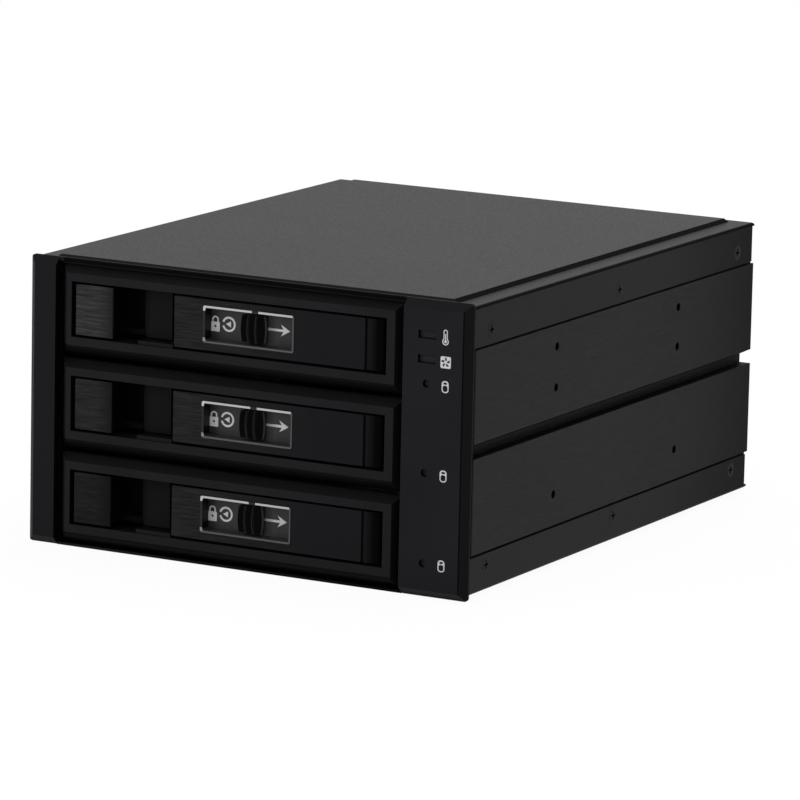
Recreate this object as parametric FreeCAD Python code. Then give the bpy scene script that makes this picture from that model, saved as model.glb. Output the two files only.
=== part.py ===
import FreeCAD, Part

import math
import os

# Three-bay hot swap drive cage for two stacked 5.25 inch bays. Millimetres.
# X is to the right seen from the front, Y runs from the front to the back, Z is up.
# The pieces are drawn with Y = 0 on the front of the bezel and Z = 0 under it, and are
# written out with the origin moved to the middle of the footprint.

V = FreeCAD.Vector

# ---- body and bezel -------------------------------------------------------------------
body_width = 146.0            # across the two side panels
overall_depth = 184.8         # bezel front to the back edge of the side panels
body_height = 83.0            # bottom cover to the rim of the top cover
bezel_crown = 0.8             # how far the bezel stands above the body
bezel_thickness = 3.0
bezel_bevel = 2.3             # 45 degree bevel on the outer front edges
bezel_foot = 1.6              # how far the bezel hangs below the body
sheet = 1.0                   # steel of the two covers
emboss_height = 1.1           # raised field of the top cover
emboss_side_rim = 7.0         # flat rim left beside the raised field
emboss_rear_rim = 3.8
emboss_front_rim = 1.2
seam_gap = 0.75               # hairline between a cover flange and the side panel
hairline = 0.35               # hairline between the bezel and the side panel
top_flange = 12.3             # height of the folded flanges
bottom_flange = 11.05
flange_relief = 1.4           # the flanges stop short of the back edge
cover_bend = 0.9

# ---- side panels: aluminium extrusions ------------------------------------------------
side_wall = 2.5
groove_depth = 3.6            # bay rail groove at mid height
groove_bottom_z = 40.7
groove_floor_height = 2.6
groove_mouth_height = 4.35
groove_wall = 2.2
screw_channel_radius = 3.0    # screw channels of the extrusion, on its inner face
screw_channel_inset = 5.0     # from the outer face to the channel's axis
channel_z = (30.0, 59.5)
bay_hole_y = 53.65            # first of the bay mounting holes
bay_hole_pitch = 79.25
bay_hole_z = (22.2, 53.7, 65.7)
m3_tap_radius = 1.25
fit_gap = 0.05                # radial play round screws and pins

# ---- cover screws ----------------------------------------------------------------------
cover_screw_front = 12.8      # first cover screw behind the bezel's front
cover_screw_rear = 11.7       # last cover screw ahead of the back edge
cover_screw_from_top = 7.9    # below the rim of the top cover
cover_screw_from_bottom = 7.4
flat_head_radius = 2.3
screw_shank_radius = m3_tap_radius - fit_gap
cover_screw_length = 4.4

# ---- trays -----------------------------------------------------------------------------
tray_count = 3
left_stile = 9.5
right_stile = 21.3            # wider, for the lights
tray_side_gap = 0.95          # front frame to bezel stile
tray_top_gap = 0.85
tray_bottom_gap = 0.45
tray_gap = 1.35               # between one tray's front frame and the next
bezel_rail_bottom = 0.8       # thin rails of the bezel above and below the trays
bezel_rail_top = 1.1
bezel_corner = 1.2            # rounding of the bezel's outline
rail_setback = 2.0
sill_back = 7.0               # the bottom rail runs back under the tray to the bottom cover
sill_lip = 1.0
tray_recess = 1.1             # tray face behind the bezel's front
tray_bevel = 2.3
tray_flange_back = 5.5        # back of the front frame's flange
tray_front_back = 13.0        # back of the front moulding
tray_side_step = 2.65         # the moulding behind the flange is narrower on each side
tray_top_step = 1.25          # and lower at the top
tray_bottom_step = 1.7        # and higher at the bottom, as the rails are
left_margin = 3.85            # tray frame left of the pocket in its face
right_margin = 5.0
top_margin = 4.65
bottom_margin = 5.45
pocket_back = 11.0
piece_gap = 0.75              # black gap round the pieces in the pocket
plate_face = 1.5              # front of the brushed plates
plate_thickness = 0.8
trim_gap = 1.3                # wider gap left of the trim plate
trim_width = 12.5
shelf_top = 4.4               # thin shelf in the finger well, below the tray's centre
shelf_thickness = 1.4
shelf_front = 6.5
sill_front = 2.2              # low sill under the handle's lip
sill_play = 0.45
tray_screw_x = 36.0           # screws of the tray base, either side of the bay's centre line

# ---- tray handle -----------------------------------------------------------------------
handle_free_x = -18.25        # left end of the handle's plate, from the bay's centre line
hinge_inset = 3.85            # hinge axis, from the pocket's right wall
hinge_y = 5.0
barrel_radius = 3.3
hinge_pin_radius = 1.0
pin_seat = 1.6                # how deep each end of the hinge pin sits in the frame
handle_back = 8.4
tongue_front = 6.0            # recessed lip at the free end, which a finger hooks behind
tongue_back = 7.6
tongue_reach = 12.5
tongue_rise = 1.5             # underside of the lip above the pocket's floor
tongue_groove = 1.0           # shadow groove where the lip meets the handle
tail_reach = 5.6              # short ejector tail behind the hinge
window_x = 6.4                # middle of the lock window, from the bay's centre line
window_rise = 0.2             # and above the handle's own middle
window_width = 30.0
window_height = 10.8
window_rim = 0.7
window_floor = 4.9            # front of the window's floor
slider_width = 7.9
slider_x = 7.48               # middle of the slider, from the bay's centre line
lock_travel = 4.5
slider_front = 2.0            # front of the ribs, inside the window
slider_pad_front = 2.9
slider_pad_back = 3.7
slider_pad_half = 4.05        # half height of the pad under the ribs
rib_halves = (3.9, 4.3, 4.1)  # half heights of the three ribs
rib_width = 1.95
rib_pitch = 2.6
rib_bulge = 0.5
stem_left = -3.5              # stem, from the middle of the slider
stem_width = 1.5
stem_half = 1.6
stem_play = 0.3

# ---- tray base -------------------------------------------------------------------------
tray_base_step = 3.65         # the base is narrower than the front frame on each side
tray_rail = 1.6
tray_rail_height = 18.0
tray_base_gap = 9.1           # ahead of the backplane
runner_height = 1.6           # rib on the tray's side that slides in the guide
runner_reach = 3.7
runner_drop = 4.0             # below the tray's centre
runner_play = 0.3
drive_hole_y = (24.4, 126.0)  # screw slots, 101.6 mm apart, for the side holes of a 3.5 inch drive
drive_hole_rise = 6.35        # above the underside of the drive
drive_slot = 7.0

# ---- bay walls and guides --------------------------------------------------------------
bay_wall_gap = 0.65           # tray's front frame to the inner face of a bay wall
bay_wall = 1.2
bay_wall_flange = 5.0
tab_width = 6.0               # rear tabs that carry the backplane
tab_height = 14.0
tab_from_bottom = 12.4        # middle of the lower tab, from the bottom cover
tab_from_top = 11.1
vent_start = 30.0
vent_length = 16.0
vent_height = 8.0
vent_pitch = 24.0
vents_per_tray = 5
board_screw_x = 3.2           # from the wall's outer face to the backplane screws
guide_leg = 1.2
guide_start = 18.0
guide_end_gap = 11.1          # ahead of the backplane

# ---- backplane, fan and rear panel -----------------------------------------------------
backplane_thickness = 1.6
fan_air_gap = 3.5             # backplane to fan
rear_inset = 3.6              # rear panel ahead of the side panels' back edge
fan_play = 0.5                # fan to the covers
fan_depth = 15.0
fan_x = -22.0
fan_hole_inset = 4.25
fan_duct_wall = 2.0
fan_hub_radius = 13.0
fan_blades = 7
blade_pitch = 52.0             # degrees from the fan's axis
blade_thickness = 1.3
fan_screw_radius = 2.0
fan_hole_radius = 2.15
strut_thickness = 2.0
bearing_outer = 3.0
shaft_radius = 1.5
press_gap = 0.02              # radial gap of a pressed fit
guard_ring = 1.8              # metal left between the slots of the fan guard
guard_slot = 5.4
guard_spoke = 3.4
panel_play = 0.15
board_side_gap = 3.4          # backplane board to the cage's left side
board_bottom_gap = 1.0
board_top_gap = 2.4
connector_offset = 20.7       # drive connector from the tray's centre line
port_x = 31.0
power_x = 48.0
port_size = (15.0, 6.0, 14.0)      # length along Z, width along X, depth along Y
power_size = (25.0, 7.0, 14.0)
power_z = (24.0, 61.0)
window_play = 1.3             # room for a plug's body round each port

# ---- status lights ---------------------------------------------------------------------
light_inset = 13.6            # lights, from the bezel's right edge
slot_z = (68.7, 75.7)
slot_width = 5.7
slot_height = 2.3
lamp_z = (10.05, 36.1, 61.7)
lamp_radius = 1.15
light_recess = 1.1
led_board_y = 7.0
led_board_half = 5.1          # half width, round the lights
led_board_end = 4.9           # from the bezel's top and bottom
led_board_thickness = 1.2
led_post_offset = 2.9         # screw posts, right of the lights
led_post_z = (22.5, 49.0)
led_post_radius = 2.0
led_pilot_radius = 0.85
led_size = 2.0
led_height = 1.0
window_flange = 0.8           # collar of a light window behind the bezel

# ---- derived places --------------------------------------------------------------------
half_width = body_width / 2
body_z0 = bezel_foot
body_z1 = bezel_foot + body_height
bezel_height = body_z1 + bezel_crown
inside_z0 = body_z0 + sheet
inside_z1 = body_z1 - sheet
middle_z = (inside_z0 + inside_z1) / 2
side_inner_x = half_width - side_wall
seam_top_z = body_z1 - top_flange
seam_bottom_z = body_z0 + bottom_flange
channel_x = half_width - screw_channel_inset
cover_screw_y = (cover_screw_front, (cover_screw_front + overall_depth - cover_screw_rear) / 2,
                 overall_depth - cover_screw_rear)
cover_screw_z = (body_z0 + cover_screw_from_bottom, body_z1 - cover_screw_from_top)

opening_x0 = left_stile - half_width
opening_x1 = half_width - right_stile
opening_z0 = bezel_rail_bottom
opening_z1 = bezel_height - bezel_rail_top
bay_x = (opening_x0 + opening_x1) / 2
tray_width = opening_x1 - opening_x0 - 2 * tray_side_gap
tray_stack = opening_z1 - opening_z0 - tray_bottom_gap - tray_top_gap
tray_height = (tray_stack - (tray_count - 1) * tray_gap) / tray_count
first_tray_z = opening_z0 + tray_bottom_gap + tray_height / 2
tray_z = [first_tray_z + i * (tray_height + tray_gap) for i in range(tray_count)]
tray_front_half = tray_width / 2 - tray_side_step
tray_front_rise = tray_height / 2 - tray_top_step
tray_drop = tray_height / 2 - tray_bottom_step
tray_base_half = tray_width / 2 - tray_base_step
bay_half = tray_width / 2 + bay_wall_gap

pocket_left = tray_width / 2 - left_margin
pocket_right = tray_width / 2 - right_margin
pocket_top = tray_height / 2 - top_margin
pocket_bottom = tray_height / 2 - bottom_margin
handle_z_mid = (pocket_top - pocket_bottom) / 2
handle_half = (pocket_top + pocket_bottom) / 2 - piece_gap
hinge_x = pocket_right - hinge_inset
plate_back = plate_face + plate_thickness

rear_panel_y = overall_depth - rear_inset
fan_front_y = rear_panel_y - fan_depth
backplane_back = fan_front_y - fan_air_gap
backplane_y = backplane_back - backplane_thickness
tray_base_end = backplane_y - tray_base_gap
guide_end = backplane_y - guide_end_gap
fan_size = inside_z1 - inside_z0 - 2 * fan_play
fan_hole_pitch = fan_size - 2 * fan_hole_inset
fan_duct_radius = fan_size / 2 - fan_duct_wall
wall_front = bezel_thickness + hairline
tab_z = (inside_z0 + tab_from_bottom, inside_z1 - tab_from_top)
board_x0 = board_side_gap - half_width
board_x1 = bay_x + bay_half + bay_wall + tab_width
board_z0 = inside_z0 + board_bottom_gap
board_z1 = inside_z1 - board_top_gap
light_x = half_width - light_inset
led_post_x = light_x + led_post_offset
OVER = 1.0                    # how far a block runs past the face that it opens


# ---- small helpers ---------------------------------------------------------------------
def block(x0, x1, y0, y1, z0, z1):
    return Part.makeBox(x1 - x0, y1 - y0, z1 - z0, V(x0, y0, z0))


def rod(start, direction, radius, length):
    return Part.makeCylinder(radius, length, V(*start), V(*direction))


def prism(points, direction):
    """Extrude the closed outline through the given 3-D points."""
    outline = [V(*p) for p in points]
    outline.append(outline[0])
    return Part.Face(Part.makePolygon(outline)).extrude(V(*direction))


def joined(shapes):
    return shapes[0].fuse(shapes[1:]).removeSplitter()


def without(shape, tools):
    return shape.cut(tools).removeSplitter() if tools else shape


def mirrored(shape, x=0.0):
    return shape.mirror(V(x, 0, 0), V(1, 0, 0))


def edges_at(shape, test):
    """The straight edges whose two ends both pass the test."""
    return [e for e in shape.Edges if all(test(v.Point) for v in e.Vertexes)]


def near(a, b):
    return abs(a - b) < 1e-4


def rounded_block(x0, x1, y0, y1, z0, z1, radius):
    """A block whose four edges along Y are rounded."""
    solid = block(x0, x1, y0, y1, z0, z1)
    corners = [e for e in solid.Edges if near(e.Vertexes[0].X, e.Vertexes[1].X)
               and near(e.Vertexes[0].Z, e.Vertexes[1].Z)]
    return solid.makeFillet(radius, corners)


def frustum(x0, x1, y0, y1, z0, z1, taper):
    """A flat block whose sides lean in by taper between z0 and z1."""
    low = [V(x0, y0, z0), V(x1, y0, z0), V(x1, y1, z0), V(x0, y1, z0), V(x0, y0, z0)]
    high = [V(x0 + taper, y0 + taper, z1), V(x1 - taper, y0 + taper, z1),
            V(x1 - taper, y1 - taper, z1), V(x0 + taper, y1 - taper, z1),
            V(x0 + taper, y0 + taper, z1)]
    return Part.makeLoft([Part.makePolygon(low), Part.makePolygon(high)], True, True)


def cross_recess(radius, depth):
    """The cross cut into a screw head that faces +Z at the origin."""
    arm = radius * 1.1
    blade = 0.25 * radius
    return joined([block(-arm / 2, arm / 2, -blade / 2, blade / 2, -depth, OVER),
                   block(-blade / 2, blade / 2, -arm / 2, arm / 2, -depth, OVER)])


def turned(shape, direction, place):
    """Point the shape's +Z along direction and put its origin at place."""
    turn = FreeCAD.Rotation(V(0, 0, 1), V(*direction))
    moved = shape.copy()
    moved.Placement = FreeCAD.Placement(V(*place), turn)
    return moved


def flat_screw(head_radius, head_depth, shank_radius, length):
    """A countersunk screw with its head's face on Z = 0, pointing down."""
    head = Part.makeCone(shank_radius, head_radius, head_depth, V(0, 0, -head_depth))
    shank = Part.makeCylinder(shank_radius, length, V(0, 0, -length))
    return without(joined([head, shank]), [cross_recess(head_radius, 0.5 * head_depth)])


def pan_screw(head_radius, head_height, shank_radius, length):
    """A pan head screw whose head sits on Z = 0."""
    head = Part.makeCylinder(head_radius, head_height)
    rim = edges_at(head, lambda p: near(p.z, head_height))
    head = head.makeFillet(0.45 * head_height, rim)
    shank = Part.makeCylinder(shank_radius, length, V(0, 0, -length))
    recess = cross_recess(head_radius, 0.5 * head_height)
    recess.translate(V(0, 0, head_height))
    return without(joined([head, shank]), [recess])


def write(name, shapes):
    """Write one node, with the origin moved to the middle of the footprint."""
    solids = shapes if isinstance(shapes, list) else [shapes]
    whole = solids[0] if len(solids) == 1 else Part.makeCompound(solids)
    placed = whole.copy()
    placed.translate(V(0, -overall_depth / 2, 0))
    placed.exportStep("parts/" + name + ".step")
    print(name, len(placed.Solids), round(placed.Volume, 1), placed.isValid())


# ---- bezel and status lights -----------------------------------------------------------
def bezel_tab(side, z):
    """A lug behind the bezel that takes the front screw of a cover."""
    half_height = 4.0
    thickness = 2.2
    back = cover_screw_y[0] + 4.5
    lug = block(side_inner_x - thickness, side_inner_x, bezel_thickness - 0.5, back,
                z - half_height, z + half_height)
    hole = rod((side_inner_x - thickness - OVER, cover_screw_y[0], z), (1, 0, 0),
               m3_tap_radius, thickness + 2 * OVER)
    lug = without(lug, [hole])
    return lug if side > 0 else mirrored(lug)


def front_bezel():
    plate = block(-half_width, half_width, 0, bezel_thickness, 0, bezel_height)
    outer = edges_at(plate, lambda p: near(p.y, 0) and near(abs(p.x), half_width))
    outer += edges_at(plate, lambda p: near(p.y, 0) and near(p.z, bezel_height))
    plate = plate.makeChamfer(bezel_bevel, outer)
    plate = plate.common(rounded_block(-half_width, half_width, -OVER, bezel_thickness + OVER,
                                       0, bezel_height, bezel_corner))
    cuts = [block(opening_x0, opening_x1, -OVER, bezel_thickness + OVER, opening_z0, opening_z1),
            block(opening_x0, opening_x1, -OVER, rail_setback, -OVER, bezel_height + OVER)]
    for z in slot_z:
        cuts.append(block(light_x - slot_width / 2, light_x + slot_width / 2, -OVER,
                          bezel_thickness + OVER, z - slot_height / 2, z + slot_height / 2))
    for z in lamp_z:
        cuts.append(rod((light_x, -OVER, z), (0, 1, 0), lamp_radius, bezel_thickness + 2 * OVER))
    pieces = [without(plate, cuts)]
    for z in cover_screw_z:
        pieces.append(bezel_tab(1, z))
        pieces.append(bezel_tab(-1, z))
    pieces.append(block(opening_x0, opening_x1, rail_setback, sill_back, 0, bezel_rail_bottom))
    pieces.append(block(opening_x0 - sill_lip, opening_x1 + sill_lip, bezel_thickness - 0.5,
                        sill_back, 0, body_z0))
    trough = block(opening_x0, opening_x1, 0, sill_back - sill_lip, bezel_rail_bottom, body_z0 + OVER)
    for z in led_post_z:
        post = rod((led_post_x, bezel_thickness - 0.5, z), (0, 1, 0), led_post_radius,
                   led_board_y - bezel_thickness + 0.5)
        pilot = rod((led_post_x, bezel_thickness, z), (0, 1, 0), led_pilot_radius, led_board_y)
        pieces.append(without(post, [pilot]))
    return without(joined(pieces), [trough])


def status_windows():
    """Clear light windows: two oblong, three round, each with a collar behind the bezel."""
    windows = []
    collar_back = bezel_thickness + window_flange
    for z in slot_z:
        half_x = slot_width / 2 - fit_gap
        half_z = slot_height / 2 - fit_gap
        bar = block(light_x - half_x, light_x + half_x, light_recess, collar_back,
                    z - half_z, z + half_z)
        collar = block(light_x - half_x - 0.8, light_x + half_x + 0.8, bezel_thickness,
                       collar_back, z - half_z - 0.8, z + half_z + 0.8)
        windows.append(joined([bar, collar]))
    for z in lamp_z:
        stem = rod((light_x, light_recess, z), (0, 1, 0), lamp_radius - fit_gap,
                   collar_back - light_recess)
        collar = rod((light_x, bezel_thickness, z), (0, 1, 0), lamp_radius + 0.8, window_flange)
        windows.append(joined([stem, collar]))
    return windows


def led_board():
    back = led_board_y + led_board_thickness
    board = block(light_x - led_board_half, light_x + led_board_half, led_board_y, back,
                  led_board_end, bezel_height - led_board_end)
    holes = [rod((led_post_x, led_board_y - OVER, z), (0, 1, 0), 1.1,
                 led_board_thickness + 2 * OVER) for z in led_post_z]
    return without(board, holes)


def led_chips():
    half = led_size / 2
    return [block(light_x - half, light_x + half, led_board_y - led_height, led_board_y,
                  z - half, z + half) for z in lamp_z + slot_z]


def led_board_screws():
    screw = pan_screw(1.9, 1.2, led_pilot_radius - fit_gap, led_board_thickness + 3.0)
    back = led_board_y + led_board_thickness
    return [turned(screw, (0, 1, 0), (led_post_x, back, z)) for z in led_post_z]


# ---- covers ----------------------------------------------------------------------------
def countersink(side, y, z):
    """The tapered hole for a cover screw in a flange, and its clearance hole."""
    taper = Part.makeCone(screw_shank_radius + fit_gap, flat_head_radius + fit_gap, sheet,
                          V(half_width - sheet, y, z), V(1, 0, 0))
    through = rod((half_width - sheet - OVER, y, z), (1, 0, 0), screw_shank_radius + fit_gap,
                  sheet + OVER)
    tool = joined([taper, through])
    return tool if side > 0 else mirrored(tool)


def folded_cover(plate_low, plate_high, flange_end, screw_z):
    """A plate with a flange folded at each side, towards flange_end."""
    low = min(plate_low, flange_end)
    high = max(plate_high, flange_end)
    outer = block(-half_width, half_width, bezel_thickness, overall_depth, low, high)
    crown = plate_high if flange_end < plate_low else plate_low
    outer = outer.makeFillet(cover_bend, edges_at(
        outer, lambda p: near(abs(p.x), half_width) and near(p.z, crown)))
    inner_x = half_width - sheet
    if flange_end < plate_low:
        hollow = (low - OVER, plate_low)
    else:
        hollow = (plate_high, high + OVER)
    cuts = [block(-inner_x, inner_x, 0, overall_depth + OVER, *hollow)]
    for side in (-1, 1):
        x0, x1 = sorted((side * inner_x, side * (half_width + OVER)))
        cuts.append(block(x0, x1, overall_depth - flange_relief, overall_depth + OVER, *hollow))
        for y in cover_screw_y:
            cuts.append(countersink(side, y, screw_z))
    return without(outer, cuts)


def top_cover():
    cover = folded_cover(inside_z1, body_z1, seam_top_z + seam_gap / 2, cover_screw_z[1])
    x = half_width - emboss_side_rim
    y0 = bezel_thickness + emboss_front_rim
    y1 = overall_depth - emboss_rear_rim
    raised = frustum(-x, x, y0, y1, body_z1, body_z1 + emboss_height, emboss_height)
    hollow = frustum(-x + sheet / 2, x - sheet / 2, y0 + sheet / 2, y1 - sheet / 2,
                     inside_z1, inside_z1 + emboss_height, emboss_height)
    return without(joined([cover, raised]), [hollow])


def bottom_cover():
    cover = folded_cover(body_z0, inside_z0, seam_bottom_z - seam_gap / 2, cover_screw_z[0])
    notch = block(opening_x0, opening_x1, 0, sill_back - sill_lip, body_z0 - OVER, inside_z0 + OVER)
    return without(cover, [notch])


def cover_screws():
    screw = flat_screw(flat_head_radius, sheet - fit_gap, screw_shank_radius, cover_screw_length)
    screws = []
    for side in (-1, 1):
        for y in cover_screw_y:
            for z in cover_screw_z:
                screws.append(turned(screw, (side, 0, 0), (side * half_width, y, z)))
    return screws


# ---- side panels -----------------------------------------------------------------------
def side_panel():
    """The right-hand extrusion: stepped for the covers, with a rail groove and channels."""
    lap_x = half_width - sheet
    floor_x = half_width - groove_depth
    back_x = floor_x - groove_wall
    groove_mouth_z = groove_bottom_z + groove_mouth_height
    groove_floor_z = groove_bottom_z + groove_floor_height
    outline = [
        (lap_x, inside_z0), (lap_x, seam_bottom_z + seam_gap / 2),
        (half_width, seam_bottom_z + seam_gap / 2), (half_width, groove_bottom_z),
        (floor_x, groove_bottom_z), (floor_x, groove_floor_z), (half_width, groove_mouth_z),
        (half_width, seam_top_z - seam_gap / 2), (lap_x, seam_top_z - seam_gap / 2),
        (lap_x, inside_z1), (side_inner_x, inside_z1),
        (side_inner_x, groove_mouth_z + groove_wall), (back_x, groove_floor_z + groove_wall),
        (back_x, groove_bottom_z - groove_wall), (side_inner_x, groove_bottom_z - groove_wall),
        (side_inner_x, inside_z0)]
    start = bezel_thickness + hairline
    wall = prism([(x, start, z) for x, z in outline], (0, overall_depth - start, 0))
    channels = [rod((channel_x, start, z), (0, 1, 0), screw_channel_radius,
                    rear_panel_y - start) for z in channel_z]
    panel = joined([wall] + channels)
    cuts = [rod((channel_x, 0, z), (0, 1, 0), m3_tap_radius, rear_panel_y + OVER)
            for z in channel_z]
    for z in bay_hole_z:
        for y in (bay_hole_y, bay_hole_y + bay_hole_pitch):
            cuts.append(rod((side_inner_x - OVER, y, z), (1, 0, 0), m3_tap_radius, side_wall + 2 * OVER))
    for z in cover_screw_z:
        for y in cover_screw_y:
            cuts.append(rod((side_inner_x - OVER, y, z), (1, 0, 0), m3_tap_radius, side_wall + 2 * OVER))
    return without(panel, cuts)


# ---- bay walls and tray guides ---------------------------------------------------------
def bay_wall_right():
    """Sheet wall right of the trays, folded outwards at the top, bottom and rear tabs."""
    x0 = bay_x + bay_half
    x1 = x0 + bay_wall
    reach = x1 + bay_wall_flange
    pieces = [block(x0, x1, wall_front, backplane_y, inside_z0, inside_z1),
              block(x0, reach, wall_front, backplane_y, inside_z0, inside_z0 + bay_wall),
              block(x0, reach, wall_front, backplane_y, inside_z1 - bay_wall, inside_z1)]
    for z in tab_z:
        pieces.append(block(x0, x1 + tab_width, backplane_y - bay_wall, backplane_y,
                            z - tab_height / 2, z + tab_height / 2))
    cuts = []
    for z in tab_z:
        cuts.append(rod((x1 + board_screw_x, backplane_y - bay_wall - OVER, z), (0, 1, 0),
                        m3_tap_radius, bay_wall + 2 * OVER))
    for z in tray_z:
        for k in range(vents_per_tray):
            y = vent_start + k * vent_pitch
            cuts.append(block(x0 - OVER, x1 + OVER, y, y + vent_length,
                              z + 1.0, z + 1.0 + vent_height))
    return without(joined(pieces), cuts)


def tray_guide(z):
    """The channel on the right-hand wall that a tray's runner slides in."""
    wall_x = bay_x + bay_half
    inner_x = bay_x + tray_base_half + 0.6
    runner_z = z - runner_drop
    slot_half = runner_height / 2 + runner_play
    outer_half = slot_half + guide_leg
    channel = block(inner_x, wall_x, guide_start, guide_end, runner_z - outer_half,
                    runner_z + outer_half)
    slot = block(inner_x - OVER, wall_x - 0.35, guide_start - OVER, guide_end + OVER,
                 runner_z - slot_half, runner_z + slot_half)
    mouth = prism([(inner_x - OVER, guide_start - OVER, runner_z - outer_half),
                   (inner_x - OVER, guide_start + 6, runner_z - slot_half + 0.1),
                   (inner_x - OVER, guide_start + 6, runner_z + slot_half - 0.1),
                   (inner_x - OVER, guide_start - OVER, runner_z + outer_half)],
                  (wall_x - inner_x + OVER - 0.35, 0, 0))
    return without(channel, [slot, mouth])


# ---- trays -----------------------------------------------------------------------------
def tray_base(z):
    """Open carrier for a 3.5 inch drive: front wall, two rails with screw slots, runners."""
    x0 = bay_x - tray_base_half
    x1 = bay_x + tray_base_half
    z0 = z - tray_drop
    top = z0 + tray_rail_height
    front = tray_front_back
    pieces = [block(x0, x0 + tray_rail, front, tray_base_end, z0, top),
              block(x1 - tray_rail, x1, front, tray_base_end, z0, top),
              block(x0, x1, front, front + tray_rail, z0, top)]
    runner_z = z - runner_drop
    for wall_x, tip_x in ((x0 + 0.5, x0 - runner_reach), (x1 - 0.5, x1 + runner_reach)):
        a, b = sorted((wall_x, tip_x))
        pieces.append(block(a, b, guide_start + 2, tray_base_end - 4,
                            runner_z - runner_height / 2, runner_z + runner_height / 2))
    cuts = []
    for y in drive_hole_y:
        for x in (x0, x1 - tray_rail):
            cuts.append(rounded_slot(x, y, z0 + drive_hole_rise))
    for side in (-1, 1):
        cuts.append(rod((bay_x + side * tray_screw_x, front - OVER, z), (0, 1, 0),
                        m3_tap_radius + fit_gap, tray_rail + 2 * OVER))
    carrier = without(joined(pieces), cuts)
    nose = edges_at(carrier, lambda p: near(p.y, tray_base_end) and near(p.z, top))
    return carrier.makeChamfer(5.0, nose)


def rounded_slot(x, y, z):
    """A slot through a rail, long along Y, for one drive screw."""
    radius = 1.75
    length = tray_rail + 2 * OVER
    ends = [rod((x - OVER, y + side * (drive_slot / 2 - radius), z), (1, 0, 0), radius, length)
            for side in (-1, 1)]
    middle = block(x - OVER, x - OVER + length, y - drive_slot / 2 + radius,
                   y + drive_slot / 2 - radius, z - radius, z + radius)
    return joined(ends + [middle])


def tray_front(z):
    """Moulded front: bevelled frame, deep pocket, mounting block of the trim, hinge ears."""
    half = tray_width / 2
    tall = tray_height / 2
    frame = block(bay_x - half, bay_x + half, tray_recess, tray_flange_back, z - tall, z + tall)
    frame = frame.makeChamfer(tray_bevel, edges_at(frame, lambda p: near(p.y, tray_recess)))
    rear = block(bay_x - tray_front_half, bay_x + tray_front_half, tray_flange_back - 0.5,
                 tray_front_back, z - tray_drop, z + tray_front_rise)
    pocket = block(bay_x - pocket_left, bay_x + pocket_right, 0, pocket_back,
                   z - pocket_bottom, z + pocket_top)
    tail_slot = block(bay_x + pocket_right - OVER, bay_x + tray_front_half + OVER,
                      hinge_y - 1.8, pocket_back, z - 3.2, z + 4.0)
    body = without(joined([frame, rear]), [pocket, tail_slot])
    trim_x0 = bay_x - pocket_left + trim_gap
    pad = block(trim_x0 + 0.3, trim_x0 + trim_width - 0.3, plate_back, pocket_back + 0.5,
                z - pocket_bottom + piece_gap + 0.3, z + pocket_top - piece_gap - 0.3)
    lip_x = bay_x + handle_free_x - tongue_reach
    shelf = block(trim_x0 + trim_width - 0.6, lip_x - sill_play, shelf_front, pocket_back + 0.5,
                  z - shelf_top - shelf_thickness, z - shelf_top)
    sill = block(lip_x, bay_x + handle_free_x - piece_gap, sill_front, pocket_back + 0.5,
                 z - pocket_bottom - 0.5, z - pocket_bottom + tongue_rise - sill_play)
    body = joined([body, pad, shelf, sill])
    pin_hole = rod((bay_x + hinge_x, hinge_y, z - pocket_bottom - pin_seat), (0, 0, 1),
                   hinge_pin_radius + fit_gap, pocket_top + pocket_bottom + 2 * pin_seat)
    cuts = [pin_hole]
    for side in (-1, 1):
        cuts.append(rod((bay_x + side * tray_screw_x, pocket_back + 0.4, z), (0, 1, 0),
                        m3_tap_radius, tray_front_back - pocket_back + OVER))
    return without(body, cuts)


def tray_trim(z):
    """Brushed plate at the left end of the tray face."""
    x0 = bay_x - pocket_left + trim_gap
    return rounded_block(x0, x0 + trim_width, plate_face, plate_back,
                         z - pocket_bottom + piece_gap, z + pocket_top - piece_gap, 0.3)


def tray_hinge_pin(z):
    return rod((bay_x + hinge_x, hinge_y, z - pocket_bottom - pin_seat + fit_gap), (0, 0, 1),
               hinge_pin_radius, pocket_top + pocket_bottom + 2 * pin_seat - 2 * fit_gap)


def tray_screws(z):
    screw = pan_screw(2.4, 1.3, screw_shank_radius, 3.1)
    back = tray_front_back + tray_rail
    return [turned(screw, (0, 1, 0), (bay_x + side * tray_screw_x, back, z)) for side in (-1, 1)]


def stem_way(zc, y0, y1):
    """The slot that the slider's stem travels in; the slider hides all of it at rest."""
    x = bay_x + slider_x + stem_left
    return block(x - stem_play, x + stem_width + lock_travel + stem_play, y0, y1,
                 zc - stem_half - stem_play, zc + stem_half + stem_play)


def keeper_span():
    """Both ends in X of the slider's keeper at rest."""
    x = bay_x + slider_x + stem_left + stem_width / 2
    return x - 2.6, x + 2.6


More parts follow.
